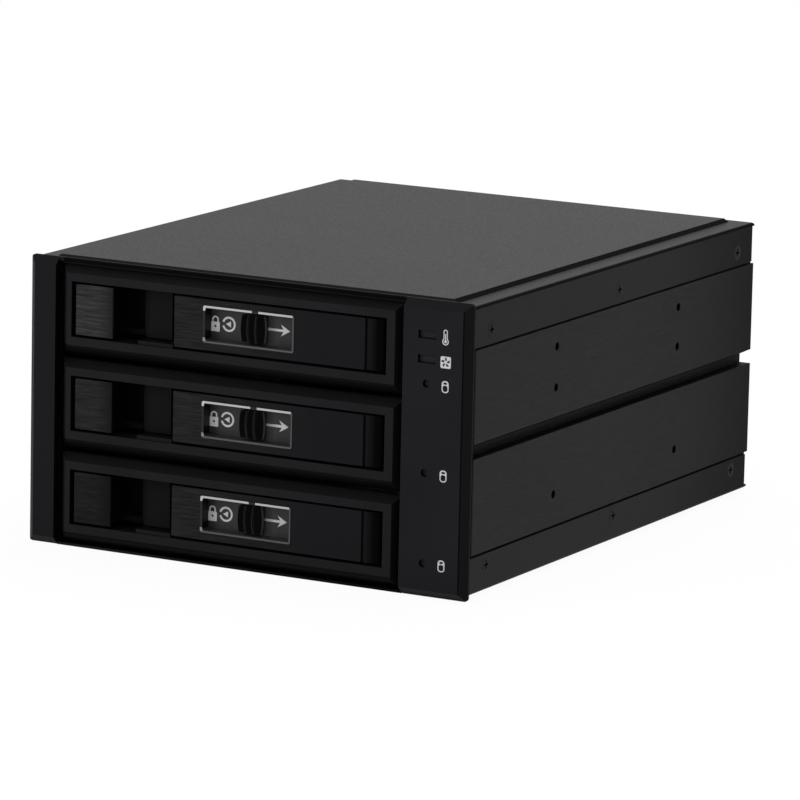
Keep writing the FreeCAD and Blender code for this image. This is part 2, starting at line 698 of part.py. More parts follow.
def handle_lever(z):
    """Lever with its barrel, finger lip, ejector tail and the pocket for the lock window."""
    zc = z + handle_z_mid
    z0 = zc - handle_half
    height = 2 * handle_half
    free_x = bay_x + handle_free_x
    axis_x = bay_x + hinge_x
    beam = block(free_x, axis_x, plate_back, handle_back, z0, z0 + height)
    barrel = rod((axis_x, hinge_y, z0), (0, 0, 1), barrel_radius, height)
    cheek = block(axis_x - barrel_radius + 0.7, axis_x, hinge_y - barrel_radius, hinge_y, z0, z0 + height)
    tongue = rounded_block(free_x - tongue_reach, free_x + OVER, tongue_front, tongue_back,
                           z - pocket_bottom + tongue_rise, z0 + height, 1.2)
    groove = block(free_x - 2.3 - tongue_groove, free_x, 0, tongue_front + tongue_groove,
                   z0 - OVER, z0 + height + OVER)
    tongue = without(tongue, [groove])
    tail = block(axis_x, axis_x + tail_reach, hinge_y - 1.3, hinge_y + 1.3, zc - 2.8, zc + 2.8)
    tail = tail.makeFillet(1.2, edges_at(tail, lambda p: near(p.x, axis_x + tail_reach)
                                         and (near(p.y, hinge_y - 1.3) or near(p.y, hinge_y + 1.3))))
    lever = joined([beam, cheek, barrel, tongue, tail])
    win_x = bay_x + window_x
    win_z = zc + window_rise
    half_w = window_width / 2 + fit_gap
    half_h = window_height / 2 + fit_gap
    window_pocket = block(win_x - half_w, win_x + half_w, 0, window_floor + 0.6 + fit_gap,
                          win_z - half_h, win_z + half_h)
    stem_slot = stem_way(win_z, window_floor, handle_back + OVER)
    keeper_x0, keeper_x1 = keeper_span()
    keeper_slot = block(keeper_x0 - stem_play, keeper_x1 + lock_travel + stem_play,
                        handle_back - 1.2, handle_back + OVER, win_z - 3.3, win_z + 3.3)
    hollow_a = block(win_x + half_w + 1.6, axis_x - barrel_radius - 1.6, plate_back + 1.2,
                     handle_back + OVER, z0 + 1.5, z0 + height - 1.5)
    bore = rod((axis_x, hinge_y, z0 - OVER), (0, 0, 1), hinge_pin_radius + fit_gap,
               height + 2 * OVER)
    return without(lever, [window_pocket, stem_slot, keeper_slot, hollow_a, bore])


def handle_face(z):
    """Brushed plate on the lever, with the cut-out for the lock window."""
    zc = z + handle_z_mid
    plate = rounded_block(bay_x + handle_free_x, bay_x + hinge_x - barrel_radius, plate_face,
                          plate_back, zc - handle_half, zc + handle_half, 0.3)
    win_x = bay_x + window_x
    win_z = zc + window_rise
    half_w = window_width / 2 + fit_gap
    half_h = window_height / 2 + fit_gap
    return without(plate, [block(win_x - half_w, win_x + half_w, 0, plate_back + OVER,
                                 win_z - half_h, win_z + half_h)])


def handle_window(z):
    """Rim and floor of the lock window, with the slot of the slider's stem."""
    zc = z + handle_z_mid + window_rise
    win_x = bay_x + window_x
    half_w = window_width / 2
    half_h = window_height / 2
    rim = rounded_block(win_x - half_w, win_x + half_w, plate_face - 0.15, window_floor + 0.6,
                        zc - half_h, zc + half_h, 0.6)
    inside = rounded_block(win_x - half_w + window_rim, win_x + half_w - window_rim, 0,
                           window_floor, zc - half_h + window_rim, zc + half_h - window_rim, 0.5)
    return without(rim, [inside, stem_way(zc, window_floor - OVER, window_floor + 2)])


def curved_rib(x, half_height, left_bulge, right_bulge, y0, y1, zc):
    """A rib between two arcs, extruded along Y; a positive bulge swells the rib outwards."""
    def corner(at, side):
        return V(at, y0, zc + side * half_height)
    right_x = x + rib_width
    left = Part.Arc(corner(x, -1), V(x - left_bulge, y0, zc), corner(x, 1)).toShape()
    right = Part.Arc(corner(right_x, -1), V(right_x + right_bulge, y0, zc), corner(right_x, 1)).toShape()
    low = Part.makeLine(corner(x, -1), corner(right_x, -1))
    high = Part.makeLine(corner(x, 1), corner(right_x, 1))
    wire = Part.Wire(Part.__sortEdges__([left, high, right, low]))
    return Part.Face(wire).extrude(V(0, y1 - y0, 0))


def lock_slider(z):
    """Thumb slider: a pad with three curved ribs, a stem through the floor and a keeper."""
    zc = z + handle_z_mid + window_rise
    x = bay_x + slider_x
    half = slider_width / 2
    pad = rounded_block(x - half + 0.2, x + half - 0.65, slider_pad_front, slider_pad_back,
                        zc - slider_pad_half, zc + slider_pad_half, 0.6)
    stem_x = x + stem_left
    stem = block(stem_x, stem_x + stem_width, slider_pad_front + 0.2, handle_back - 0.3,
                 zc - stem_half, zc + stem_half)
    keeper_x0, keeper_x1 = keeper_span()
    keeper = block(keeper_x0, keeper_x1, handle_back - 1.0, handle_back - 0.2, zc - 3.0, zc + 3.0)
    ribs = []
    for k, half_height in enumerate(rib_halves):
        rib_x = x - half + rib_bulge + k * rib_pitch
        last = k == len(rib_halves) - 1
        ribs.append(curved_rib(rib_x, half_height, rib_bulge, rib_bulge if last else -rib_bulge,
                               slider_front, slider_pad_front + 0.2, zc))
    return joined([pad, stem, keeper] + ribs)


# ---- backplane and its connectors ------------------------------------------------------
def wall_screw_places():
    """X and Z of the four screws that hold the backplane to the bay walls' tabs."""
    reach = bay_half + bay_wall + board_screw_x
    return [(bay_x + side * reach, z) for side in (-1, 1) for z in tab_z]


def backplane_board():
    board = block(board_x0, board_x1, backplane_y, backplane_back, board_z0, board_z1)
    cuts = [block(board_x0 - OVER, bay_x - bay_half - bay_wall, backplane_y - OVER,
                  backplane_back + OVER, tab_z[0] + tab_height / 2, tab_z[1] - tab_height / 2)]
    for x, z in wall_screw_places():
        cuts.append(rod((x, backplane_y - OVER, z), (0, 1, 0), m3_tap_radius + 0.2, 4))
    for z in tray_z:
        for k in range(4):
            x = bay_x - 50.0 + k * 17.5
            cuts.append(block(x, x + 14.0, backplane_y - OVER, backplane_back + OVER,
                              z - 3.5, z + 6.5))
    return without(board, cuts)


def drive_connector(z):
    """22-way receptacle that a drive plugs on to: two keyed slots in one block."""
    x = bay_x + connector_offset
    zc = z - tray_drop + 4.4
    shell = block(x - 22.0, x + 22.0, backplane_y - 6.4, backplane_y, zc - 3.2, zc + 3.2)
    slots = [block(x - 19.5, x - 9.0, backplane_y - 8.0, backplane_y - 1.4, zc - 1.1, zc + 1.1),
             block(x - 6.5, x + 14.5, backplane_y - 8.0, backplane_y - 1.4, zc - 1.1, zc + 1.1),
             block(x + 13.3, x + 14.5, backplane_y - 8.0, backplane_y - 1.4, zc - 2.2, zc + 1.1)]
    return without(shell, slots)


def blade_port(x, z, length, width, depth):
    """A shrouded plug on the back of the backplane, with its contact blade inside."""
    y0 = backplane_back
    shell = rounded_block(x - width / 2, x + width / 2, y0, y0 + depth, z - length / 2,
                          z + length / 2, 0.5)
    wall = 1.0
    cavity = block(x - width / 2 + wall, x + width / 2 - wall, y0 + 3.0, y0 + depth + OVER,
                   z - length / 2 + wall, z + length / 2 - wall)
    blade = block(x - 0.6, x + 0.6, y0 + 2.0, y0 + depth - 1.5, z - length / 2 + 2.2,
                  z + length / 2 - 2.2)
    return joined([without(shell, [cavity]), blade])


def data_ports():
    return [blade_port(port_x, z, *port_size) for z in tray_z]


def power_inlets():
    return [blade_port(power_x, z, *power_size) for z in power_z]


def backplane_screws():
    screw = pan_screw(2.6, 1.6, screw_shank_radius, 2.6)
    return [turned(screw, (0, 1, 0), (x, backplane_back, z)) for x, z in wall_screw_places()]


# ---- rear panel and fan ----------------------------------------------------------------
def fan_guard_slots():
    """Four rings of arched slots over the fan, parted by four spokes."""
    y = rear_panel_y - OVER
    thick = sheet + 2 * OVER
    slots = []
    outer = fan_duct_radius - 1.0
    while outer - guard_slot > 0.55 * fan_hub_radius:
        ring = rod((fan_x, y, middle_z), (0, 1, 0), outer, thick)
        core = rod((fan_x, y, middle_z), (0, 1, 0), outer - guard_slot, thick)
        slots.append(ring.cut(core))
        outer -= guard_slot + guard_ring
    reach = fan_duct_radius + OVER
    spokes = []
    for turn in (45, 135):
        spoke = block(-reach, reach, y, y + thick, -guard_spoke / 2, guard_spoke / 2)
        spoke.rotate(V(0, 0, 0), V(0, 1, 0), turn)
        spoke.translate(V(fan_x, 0, middle_z))
        spokes.append(spoke)
    return [slot.cut(spokes) for slot in slots]


def fan_corners():
    reach = fan_hole_pitch / 2
    return [(fan_x + sx * reach, middle_z + sz * reach) for sx in (-1, 1) for sz in (-1, 1)]


def rear_screw_places():
    return [(side * channel_x, z) for side in (-1, 1) for z in channel_z]


def rear_panel():
    half = side_inner_x - panel_play
    panel = block(-half, half, rear_panel_y, rear_panel_y + sheet,
                  inside_z0 + panel_play, inside_z1 - panel_play)
    groove_back = half_width - groove_depth - groove_wall - panel_play
    low = groove_bottom_z - groove_wall - panel_play
    high = groove_bottom_z + groove_mouth_height + groove_wall + panel_play
    cuts = fan_guard_slots()
    for side in (-1, 1):
        a, b = sorted((side * groove_back, side * (half + OVER)))
        cuts.append(block(a, b, rear_panel_y - OVER, rear_panel_y + sheet + OVER, low, high))
    for x, z in rear_screw_places():
        cuts.append(rod((x, rear_panel_y - OVER, z), (0, 1, 0), m3_tap_radius + 0.2, 4))
    for x, z in fan_corners():
        cuts.append(rod((x, rear_panel_y - OVER, z), (0, 1, 0), 2.2, 4))
    for z in tray_z:
        cuts.append(port_window(port_x, z, port_size))
    for z in power_z:
        cuts.append(port_window(power_x, z, power_size))
    return without(panel, cuts)


def port_window(x, z, size):
    length, width, _ = size
    return rounded_block(x - width / 2 - window_play, x + width / 2 + window_play,
                         rear_panel_y - OVER, rear_panel_y + sheet + OVER,
                         z - length / 2 - window_play, z + length / 2 + window_play, 1.0)


def rear_screws():
    screw = pan_screw(2.3, 1.6, screw_shank_radius, 8.0)
    back = rear_panel_y + sheet
    return [turned(screw, (0, 1, 0), (x, back, z)) for x, z in rear_screw_places()]


def fan_screws():
    screw = pan_screw(3.4, 1.9, fan_screw_radius, 9.0)
    back = rear_panel_y + sheet
    return [turned(screw, (0, 1, 0), (x, back, z)) for x, z in fan_corners()]


def fan_housing():
    """Square frame with a round duct, corner holes, and a motor seat on four struts."""
    half = fan_size / 2
    y0 = fan_front_y
    frame = rounded_block(fan_x - half, fan_x + half, y0, rear_panel_y, middle_z - half,
                          middle_z + half, 3.5)
    duct = rod((fan_x, y0 - OVER, middle_z), (0, 1, 0), fan_duct_radius, fan_depth + 2 * OVER)
    holes = [rod((x, y0 - OVER, z), (0, 1, 0), fan_hole_radius, fan_depth + 2 * OVER)
             for x, z in fan_corners()]
    waists = []
    for turn in range(4):
        waist = block(-half + 12.0, half - 12.0, y0 + 3.0, rear_panel_y - 3.0, half - 1.1, half + OVER)
        waist.rotate(V(0, 0, 0), V(0, 1, 0), 90 * turn)
        waist.translate(V(fan_x, 0, middle_z))
        waists.append(waist)
    frame = without(frame, [duct] + holes + waists)
    seat_y = rear_panel_y - strut_thickness
    seat = rod((fan_x, seat_y, middle_z), (0, 1, 0), fan_hub_radius, strut_thickness)
    struts = []
    for turn in (20, 110, 200, 290):
        strut = block(-1.6, 1.6, seat_y, rear_panel_y, 0, fan_duct_radius + 0.6)
        strut.rotate(V(0, 0, 0), V(0, 1, 0), turn)
        strut.translate(V(fan_x, 0, middle_z))
        struts.append(strut)
    tube = rod((fan_x, y0 + 4.5, middle_z), (0, 1, 0), bearing_outer + 1.5, seat_y - y0 - 4.0)
    bore = rod((fan_x, y0, middle_z), (0, 1, 0), bearing_outer + press_gap, fan_depth - strut_thickness)
    return without(joined([frame, seat, tube] + struts), [bore])


def fan_bearing():
    """Sleeve bearing pressed in the motor tube."""
    y0 = fan_front_y + 4.6
    length = rear_panel_y - strut_thickness - y0 - 0.1
    sleeve = rod((fan_x, y0, middle_z), (0, 1, 0), bearing_outer, length)
    return without(sleeve, [rod((fan_x, y0 - OVER, middle_z), (0, 1, 0), shaft_radius + fit_gap,
                                length + 2 * OVER)])


def fan_blade(root, tip):
    """One pitched blade that widens from the hub out to the tip."""
    lean = math.radians(blade_pitch)
    along = V(math.sin(lean), math.cos(lean), 0)
    across = V(math.cos(lean), -math.sin(lean), 0)

    def section(radius, chord):
        corners = []
        for a, t in ((-1, -1), (1, -1), (1, 1), (-1, 1), (-1, -1)):
            corners.append(V(0, 0, radius) + along * (a * chord / 2) + across * (t * blade_thickness / 2))
        return Part.makePolygon(corners)
    blade = Part.makeLoft([section(root, 9.5), section(tip, 16.0)], True, True)
    blade.translate(V(fan_x, fan_front_y + 6.5, middle_z))
    return blade


def fan_rotor():
    """Hub cup with its blades."""
    front = fan_front_y + 0.8
    length = 11.0
    cup = rod((fan_x, front, middle_z), (0, 1, 0), fan_hub_radius, length)
    cup = cup.makeFillet(1.5, edges_at(cup, lambda p: near(p.y, front)))
    hollow = rod((fan_x, front + 2.5, middle_z), (0, 1, 0), fan_hub_radius - 1.5, length)
    shaft_hole = rod((fan_x, front + 1.2, middle_z), (0, 1, 0), shaft_radius + press_gap, length)
    keep = rod((fan_x, fan_front_y, middle_z), (0, 1, 0), fan_duct_radius - 0.8, fan_depth)
    blades = []
    for k in range(fan_blades):
        blade = fan_blade(fan_hub_radius - 0.8, fan_duct_radius + 1.0)
        blade.rotate(V(fan_x, 0, middle_z), V(0, 1, 0), 360 * k / fan_blades)
        blades.append(blade.common(keep))
    return without(joined([cup] + blades), [hollow, shaft_hole])


def fan_shaft():
    front = fan_front_y + 2.05
    return rod((fan_x, front, middle_z), (0, 1, 0), shaft_radius,
               rear_panel_y - strut_thickness - front - 0.4)


# ---- write every node ------------------------------------------------------------------
def main():
    os.makedirs("parts", exist_ok=True)
    right_panel = side_panel()
    right_wall = bay_wall_right()
    right_guides = [tray_guide(z) for z in tray_z]
    nodes = {
        "front_bezel": front_bezel(),
        "status_windows": status_windows(),
        "led_board": led_board(),
        "led_chips": led_chips(),
        "led_board_screws": led_board_screws(),
        "top_cover": top_cover(),
        "bottom_cover": bottom_cover(),
        "cover_screws": cover_screws(),
        "side_panel_right": right_panel,
        "side_panel_left": mirrored(right_panel),
        "bay_wall_right": right_wall,
        "bay_wall_left": mirrored(right_wall, bay_x),
        "tray_guides_right": right_guides,
        "tray_guides_left": [mirrored(guide, bay_x) for guide in right_guides],
        "backplane_board": backplane_board(),
        "drive_connectors": [drive_connector(z) for z in tray_z],
        "data_ports": data_ports(),
        "power_inlets": power_inlets(),
        "backplane_screws": backplane_screws(),
        "rear_panel": rear_panel(),
        "rear_screws": rear_screws(),
        "fan_housing": fan_housing(),
        "fan_bearing": fan_bearing(),
        "fan_screws": fan_screws(),
        "fan_rotor": fan_rotor(),
        "fan_shaft": fan_shaft(),
    }
    for number, z in enumerate(tray_z, start=1):
        tag = "tray_%d_" % number
        nodes[tag + "base"] = tray_base(z)
        nodes[tag + "front"] = tray_front(z)
        nodes[tag + "trim"] = tray_trim(z)
        nodes[tag + "hinge_pin"] = tray_hinge_pin(z)
        nodes[tag + "screws"] = tray_screws(z)
        tag = "handle_%d_" % number
        nodes[tag + "lever"] = handle_lever(z)
        nodes[tag + "face"] = handle_face(z)
        nodes[tag + "window"] = handle_window(z)
        nodes["lock_%d_slider" % number] = lock_slider(z)
    for name, shape in nodes.items():
        write(name, shape)
    print(len(nodes), "nodes")


main()
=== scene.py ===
# %% [markdown]
# # A hot swap drive cage, dressed in Blender
# The solid model gives every panel, tray, lever and screw at its true size. What is left for
# Blender is the way light meets it: powder coat, brushed and anodised metal, moulded plastic,
# printed signs, gold contacts, and a plain studio round it. The frame is loaded first, because
# every place in this file is read from it or counted in the same millimetres.

# %% Load the frame
import math

import bmesh
import bpy
from mathutils import Matrix, Vector


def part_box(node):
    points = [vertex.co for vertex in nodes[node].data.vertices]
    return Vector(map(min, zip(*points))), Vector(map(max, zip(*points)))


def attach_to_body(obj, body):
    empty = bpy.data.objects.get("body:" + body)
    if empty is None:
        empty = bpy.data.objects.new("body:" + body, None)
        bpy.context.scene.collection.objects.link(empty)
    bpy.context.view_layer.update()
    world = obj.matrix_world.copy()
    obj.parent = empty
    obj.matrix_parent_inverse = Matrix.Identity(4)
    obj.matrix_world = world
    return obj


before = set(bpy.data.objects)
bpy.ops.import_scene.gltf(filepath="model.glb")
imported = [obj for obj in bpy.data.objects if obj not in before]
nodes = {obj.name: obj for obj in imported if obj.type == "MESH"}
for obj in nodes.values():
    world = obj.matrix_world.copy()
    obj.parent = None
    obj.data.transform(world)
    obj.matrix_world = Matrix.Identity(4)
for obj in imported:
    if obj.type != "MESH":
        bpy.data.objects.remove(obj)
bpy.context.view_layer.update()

scene = bpy.context.scene
scene.view_settings.view_transform = "Standard"

# %% [markdown]
# ## Millimetres, and where they start
# Scene units are metres. The cage is drawn in millimetres, with depth counted from the front of
# the bezel, so one small helper turns such a place into a scene point. Numbers typed twice, here
# and in the solid model, would drift apart, so the front of the bezel and the height of each
# lock window are read from the solids.

# %% Places that everything else uses
MM = 0.001
front_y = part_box("front_bezel")[0][1] / MM
tray_numbers = (1, 2, 3)


def place(x, depth, z):
    """A scene point from millimetres: right of the middle, behind the bezel's front, up."""
    return Vector((x, front_y + depth, z)) * MM


def middle_height(node):
    """The height of a node's middle, in millimetres."""
    low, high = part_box(node)
    return (low[2] + high[2]) / 2 / MM


window_z = {n: middle_height("handle_%d_window" % n) for n in tray_numbers}
print("lock windows at", window_z)

# %% [markdown]
# ## The camera
# The cage is seen from its front right corner, a little from above, by a long lens from about
# 1.7 m. A long lens keeps parallel edges nearly parallel, as in a catalogue picture. The camera
# is built from three angles: how far it turns round the cage, how far it looks down, and how
# far it leans. Turning the angles into a matrix by hand avoids any doubt about their order.

# %% Camera
camera_place = Vector((811.36, -1489.73, 364.18)) * MM
camera_turn = math.radians(-28.55)
camera_tilt = math.radians(-10.96)
camera_lean = math.radians(1.24)

ahead = Vector((math.sin(camera_turn) * math.cos(camera_tilt),
                math.cos(camera_turn) * math.cos(camera_tilt), math.sin(camera_tilt)))
level_right = ahead.cross(Vector((0, 0, 1))).normalized()
level_up = level_right.cross(ahead)
right = level_right * math.cos(camera_lean) + level_up * math.sin(camera_lean)
up = level_up * math.cos(camera_lean) - level_right * math.sin(camera_lean)

camera_data = bpy.data.cameras.new("studio_camera")
camera_data.sensor_width = 36.0
camera_data.lens = 258.85
camera_data.clip_end = 50.0
camera = bpy.data.objects.new("studio_camera", camera_data)
camera.matrix_world = Matrix((
    (right.x, up.x, -ahead.x, camera_place.x),
    (right.y, up.y, -ahead.y, camera_place.y),
    (right.z, up.z, -ahead.z, camera_place.z),
    (0, 0, 0, 1)))
scene.collection.objects.link(camera)
scene.camera = camera
print("camera", [round(v, 3) for v in camera_place], "lens", camera_data.lens)

# %% [markdown]
# ## Small tools for building materials
# Every finish below is a node tree. It could be wired by hand in the shader editor; written out
# in code, many finishes can share one recipe. The first helper starts an empty material, and the
# second adds a node and sets its inputs in one line. Each pattern follows the object's own
# coordinates in metres, so it stays on the metal when a tray slides out.

# %% Materials and nodes
def new_material(name):
    """An empty material with a Principled shader wired to its output."""
    material = bpy.data.materials.new(name)
    material.use_nodes = True
    tree = material.node_tree
    tree.nodes.clear()
    output = tree.nodes.new("ShaderNodeOutputMaterial")
    shader = tree.nodes.new("ShaderNodeBsdfPrincipled")
    tree.links.new(shader.outputs["BSDF"], output.inputs["Surface"])
    return material, tree, shader


def add(tree, kind, **values):
    """Add a node; keywords name its inputs, or its properties where it has no such input."""
    node = tree.nodes.new("ShaderNode" + kind)
    for key, value in values.items():
        label = key.replace("_", " ")
        if label in node.inputs:
            node.inputs[label].default_value = value
        else:
            setattr(node, key, value)
    return node


print("material and node helpers ready")

# %% [markdown]
# ## Patterns in millimetres
# A grain could come from an image, but then every mesh would have to be unwrapped; a computed
# noise needs only the place on the object. A texture node counts in its own units, so these
# helpers work its scale out from millimetres: a grain of 0.5 really is half a millimetre wide.

# %% Patterns
def object_space(tree, stretch=(1, 1, 1)):
    """The object's own coordinates in metres, squeezed along each axis by stretch."""
    coordinates = add(tree, "TexCoord")
    mapping = add(tree, "Mapping")
    mapping.inputs["Scale"].default_value = stretch
    tree.links.new(coordinates.outputs["Object"], mapping.inputs["Vector"])
    return mapping.outputs["Vector"]


def noise(tree, space, size_mm, detail=3.0, roughness=0.6):
    """A noise whose blobs are about size_mm wide; the socket runs from about 0.3 to 0.7."""
    texture = add(tree, "TexNoise", Scale=1000.0 / size_mm, Detail=detail, Roughness=roughness)
    tree.links.new(space, texture.inputs["Vector"])
    return texture.outputs["Fac"]


def spread(tree, value, low, high, reach=(0.3, 0.7)):
    """Map a socket's reach, which is a noise's usual one unless given, on to low to high."""
    ramp = add(tree, "MapRange")
    ramp.inputs["From Min"].default_value = reach[0]
    ramp.inputs["From Max"].default_value = reach[1]
    ramp.inputs["To Min"].default_value = low
    ramp.inputs["To Max"].default_value = high
    tree.links.new(value, ramp.inputs["Value"])
    return ramp.outputs["Result"]


def shade(tree, factor, dark, light):
    """A colour between two others, each a tuple or a socket, by a 0 to 1 socket."""
    mix = tree.nodes.new("ShaderNodeMix")
    mix.data_type = "RGBA"
    colour_inputs = [socket for socket in mix.inputs if socket.type == "RGBA"]
    for socket, colour in zip(colour_inputs, (dark, light)):
        if isinstance(colour, tuple):
            socket.default_value = (*colour, 1)
        else:
            tree.links.new(colour, socket)
    tree.links.new(factor, mix.inputs["Factor"])
    return next(socket for socket in mix.outputs if socket.type == "RGBA")


print("patterns ready")

# %% [markdown]
# ## Sums on sockets
# Where a tone begins and ends is worked out by Math nodes: a distance, a comparison, a product.
# Wiring each by hand takes three lines, so one helper does it, and another takes one coordinate
# out of a place.

# %% Sums and coordinates
def calculate(tree, operation, first, second=None):
    """A Math node's result; the second input may be a socket, a number or nothing."""
    node = add(tree, "Math", operation=operation)
    tree.links.new(first, node.inputs[0])
    if isinstance(second, (int, float)):
        node.inputs[1].default_value = second
    elif second is not None:
        tree.links.new(second, node.inputs[1])
    return node.outputs["Value"]


def coordinate(tree, space, axis):
    """One coordinate of a place: X, Y or Z."""
    parts = add(tree, "SeparateXYZ")
    tree.links.new(space, parts.inputs["Vector"])
    return parts.outputs[axis]


print("sums ready")

# %% [markdown]
# ## Masks by place
# A mask is a socket that is 1 where something holds and 0 elsewhere. Painting the mesh would do
# the same, but only on a mesh with many more points. These masks ask where a point lies, so they
# hold from every side and move with the piece.

# %% Masks by place
def past(tree, value, limit, above=True):
    """1 where a socket lies above a limit, or below it, else 0."""
    return calculate(tree, "GREATER_THAN" if above else "LESS_THAN", value, limit)


def both(tree, first, second):
    """1 where two masks are 1."""
    return calculate(tree, "MULTIPLY", first, second)


def outer_skin(tree, space, axis, limit_mm):
    """1 where a point lies further out along an axis than limit_mm from the middle, else 0."""
    distance = calculate(tree, "ABSOLUTE", coordinate(tree, space, axis))
    return past(tree, distance, limit_mm * MM)


def along(tree, axis, start_mm, end_mm):
    """0 at one place along an axis of the object's own space, rising evenly to 1 at another."""
    spot = coordinate(tree, object_space(tree), axis)
    return spread(tree, spot, 0, 1, reach=(start_mm * MM, end_mm * MM))


def between(tree, axis, low_mm, high_mm):
    """1 between two places along an axis, else 0."""
    spot = coordinate(tree, object_space(tree), axis)
    return both(tree, past(tree, spot, low_mm * MM), past(tree, spot, high_mm * MM, above=False))


print("masks by place ready")

# %% [markdown]
# ## Masks by direction, and masks together
# A slope is told from a flat by the way it faces: the dot product of its normal and a direction
# is 1 when they agree and 0 when they are square to each other. It never asks where the camera
# stands, so the tone stays on its face in every view. Several masks multiplied keep only what
# all of them cover.

# %% Masks by direction, and masks together
def facing(tree, direction, start, full):
    """0 to 1 by how far the surface turns towards a direction, from one cosine to another."""
    turned = add(tree, "VectorMath", operation="DOT_PRODUCT")
    turned.inputs[1].default_value = direction
    tree.links.new(add(tree, "TexCoord").outputs["Normal"], turned.inputs[0])
    return spread(tree, turned.outputs["Value"], 0, 1, reach=(start, full))


def overlap(tree, masks):
    """1 where every mask is 1; a mask is a function and its values."""
    (first, *values), *others = masks
    factor = first(tree, *values)
    for mask, *values in others:
        factor = both(tree, factor, mask(tree, *values))
    return factor


print("masks ready")

# %% [markdown]
# ## Tones and sheen laid over a finish
# A finish is made once and then adjusted place by place. Separate materials for separate faces
# would leave hard lines where they meet. The first helper slips one more colour mix between the
# finish and its shader; the second raises the roughness in the same way. Every colour laid over
# in this script is painted light: painted shade on slopes, walls, gaps and far ends, and painted
# highlights on a few faces.

# %% Overlays
def overlay(material, colour, *masks):
    """Lay a colour over a finish where every mask is 1."""
    tree = material.node_tree
    base = tree.nodes["Principled BSDF"].inputs["Base Color"]
    tree.links.new(shade(tree, overlap(tree, masks), base.links[0].from_socket, colour), base)


def matt(material, *masks):
    """Make a finish fully rough where every mask is 1."""
    tree = material.node_tree
    roughness = tree.nodes["Principled BSDF"].inputs["Roughness"]
    rougher = calculate(tree, "MAXIMUM", roughness.links[0].from_socket, overlap(tree, masks))
    tree.links.new(rougher, roughness)


print("overlays ready")

# %% [markdown]
# ## Edges and bumps
# No real edge is sharp. The Bevel node bends the shading near an edge without adding faces; the
# same node also tells how near an edge is, which lets a finish paint its edges: a painted
# highlight on most finishes, painted shade on the cover screws.

# %% Edges and bumps
FLAT_COSINE, EDGE_COSINE = 0.985, 0.75     # bent against true normal, on a flat and at an edge


def edges_of(tree, radius_mm):
    """0 on flats, rising to 1 where an edge would bend the surface if it had a small radius."""
    bent = add(tree, "Bevel", samples=4, Radius=radius_mm * MM)
    flat = add(tree, "NewGeometry")
    likeness = add(tree, "VectorMath", operation="DOT_PRODUCT")
    tree.links.new(bent.outputs["Normal"], likeness.inputs[0])
    tree.links.new(flat.outputs["True Normal"], likeness.inputs[1])
    return spread(tree, likeness.outputs["Value"], 0, 1, reach=(FLAT_COSINE, EDGE_COSINE))


def bumped(tree, shader, height, depth_mm, edge_mm=0.25):
    """Raise the surface by a height socket, depth_mm from 0 to 1, and soften its sharp edges."""
    edge = add(tree, "Bevel", samples=4, Radius=edge_mm * MM)
    bump = add(tree, "Bump", Strength=1.0, Distance=depth_mm * MM)
    tree.links.new(edge.outputs["Normal"], bump.inputs["Normal"])
    tree.links.new(height, bump.inputs["Height"])
    tree.links.new(bump.outputs["Normal"], shader.inputs["Normal"])


print("edges and bumps ready")

# %% [markdown]
# ## Fine textured coats and mouldings
# Powder coat and textured plastic look alike from afar: a dark body colour, a broad soft sheen,
# and a grain of half a millimetre to a millimetre that breaks the sheen up. One recipe covers
# them all. A coarse noise drifts the colour by about a tenth either way, as on a real coat; a
# fine noise carries the bump and varies the roughness. A moulding is seen as a skin with dark
# hollows behind it, so the recipe can paint everything below a given depth black, as painted
# shade. It can also give the edges a colour of their own: a painted highlight or painted shade,
# depending on the finish.

# %% Grained finish
# Painted shade: the near-black given to hollows, gaps and shaded walls.
PAINTED_SHADE_BLACK = (0.0016, 0.0016, 0.0019)
ROUGHNESS_DRIFT = 0.06         # how far the fine grain moves the roughness, either way
BROAD_MM = 28.0                # size of the slow colour drift
EDGE_MM = 0.3                  # how near an edge its own tone begins


def grained(name, colour, roughness, grain_mm, depth_mm, drift=0.12, gloss=0.3, skin=None,
            painted_edge_tone=None, metal=0.0):
    """A coat or moulding with a fine random grain; skin may name an axis and a limit."""
    material, tree, shader = new_material(name)
    space = object_space(tree)
    fine = noise(tree, space, grain_mm, detail=2.0)
    broad = noise(tree, space, BROAD_MM, detail=2.0)
    dark = tuple(c * (1 - drift) for c in colour)
    light = tuple(c * (1 + drift) for c in colour)
    body = shade(tree, spread(tree, broad, 0, 1), dark, light)
    if painted_edge_tone:
        body = shade(tree, edges_of(tree, EDGE_MM), body, painted_edge_tone)
    if skin:
        body = shade(tree, outer_skin(tree, space, *skin), PAINTED_SHADE_BLACK, body)
    tree.links.new(body, shader.inputs["Base Color"])
    varied = spread(tree, fine, roughness - ROUGHNESS_DRIFT, roughness + ROUGHNESS_DRIFT)
    tree.links.new(varied, shader.inputs["Roughness"])
    shader.inputs["Metallic"].default_value = metal
    shader.inputs["Specular IOR Level"].default_value = gloss
    bumped(tree, shader, fine, depth_mm)
    return material


def front_skin(depth_mm):
    """A moulding's skin down to depth_mm behind the bezel's front; deeper walls are painted shade.
    """
    return "Y", -front_y - depth_mm


print("grained() ready")
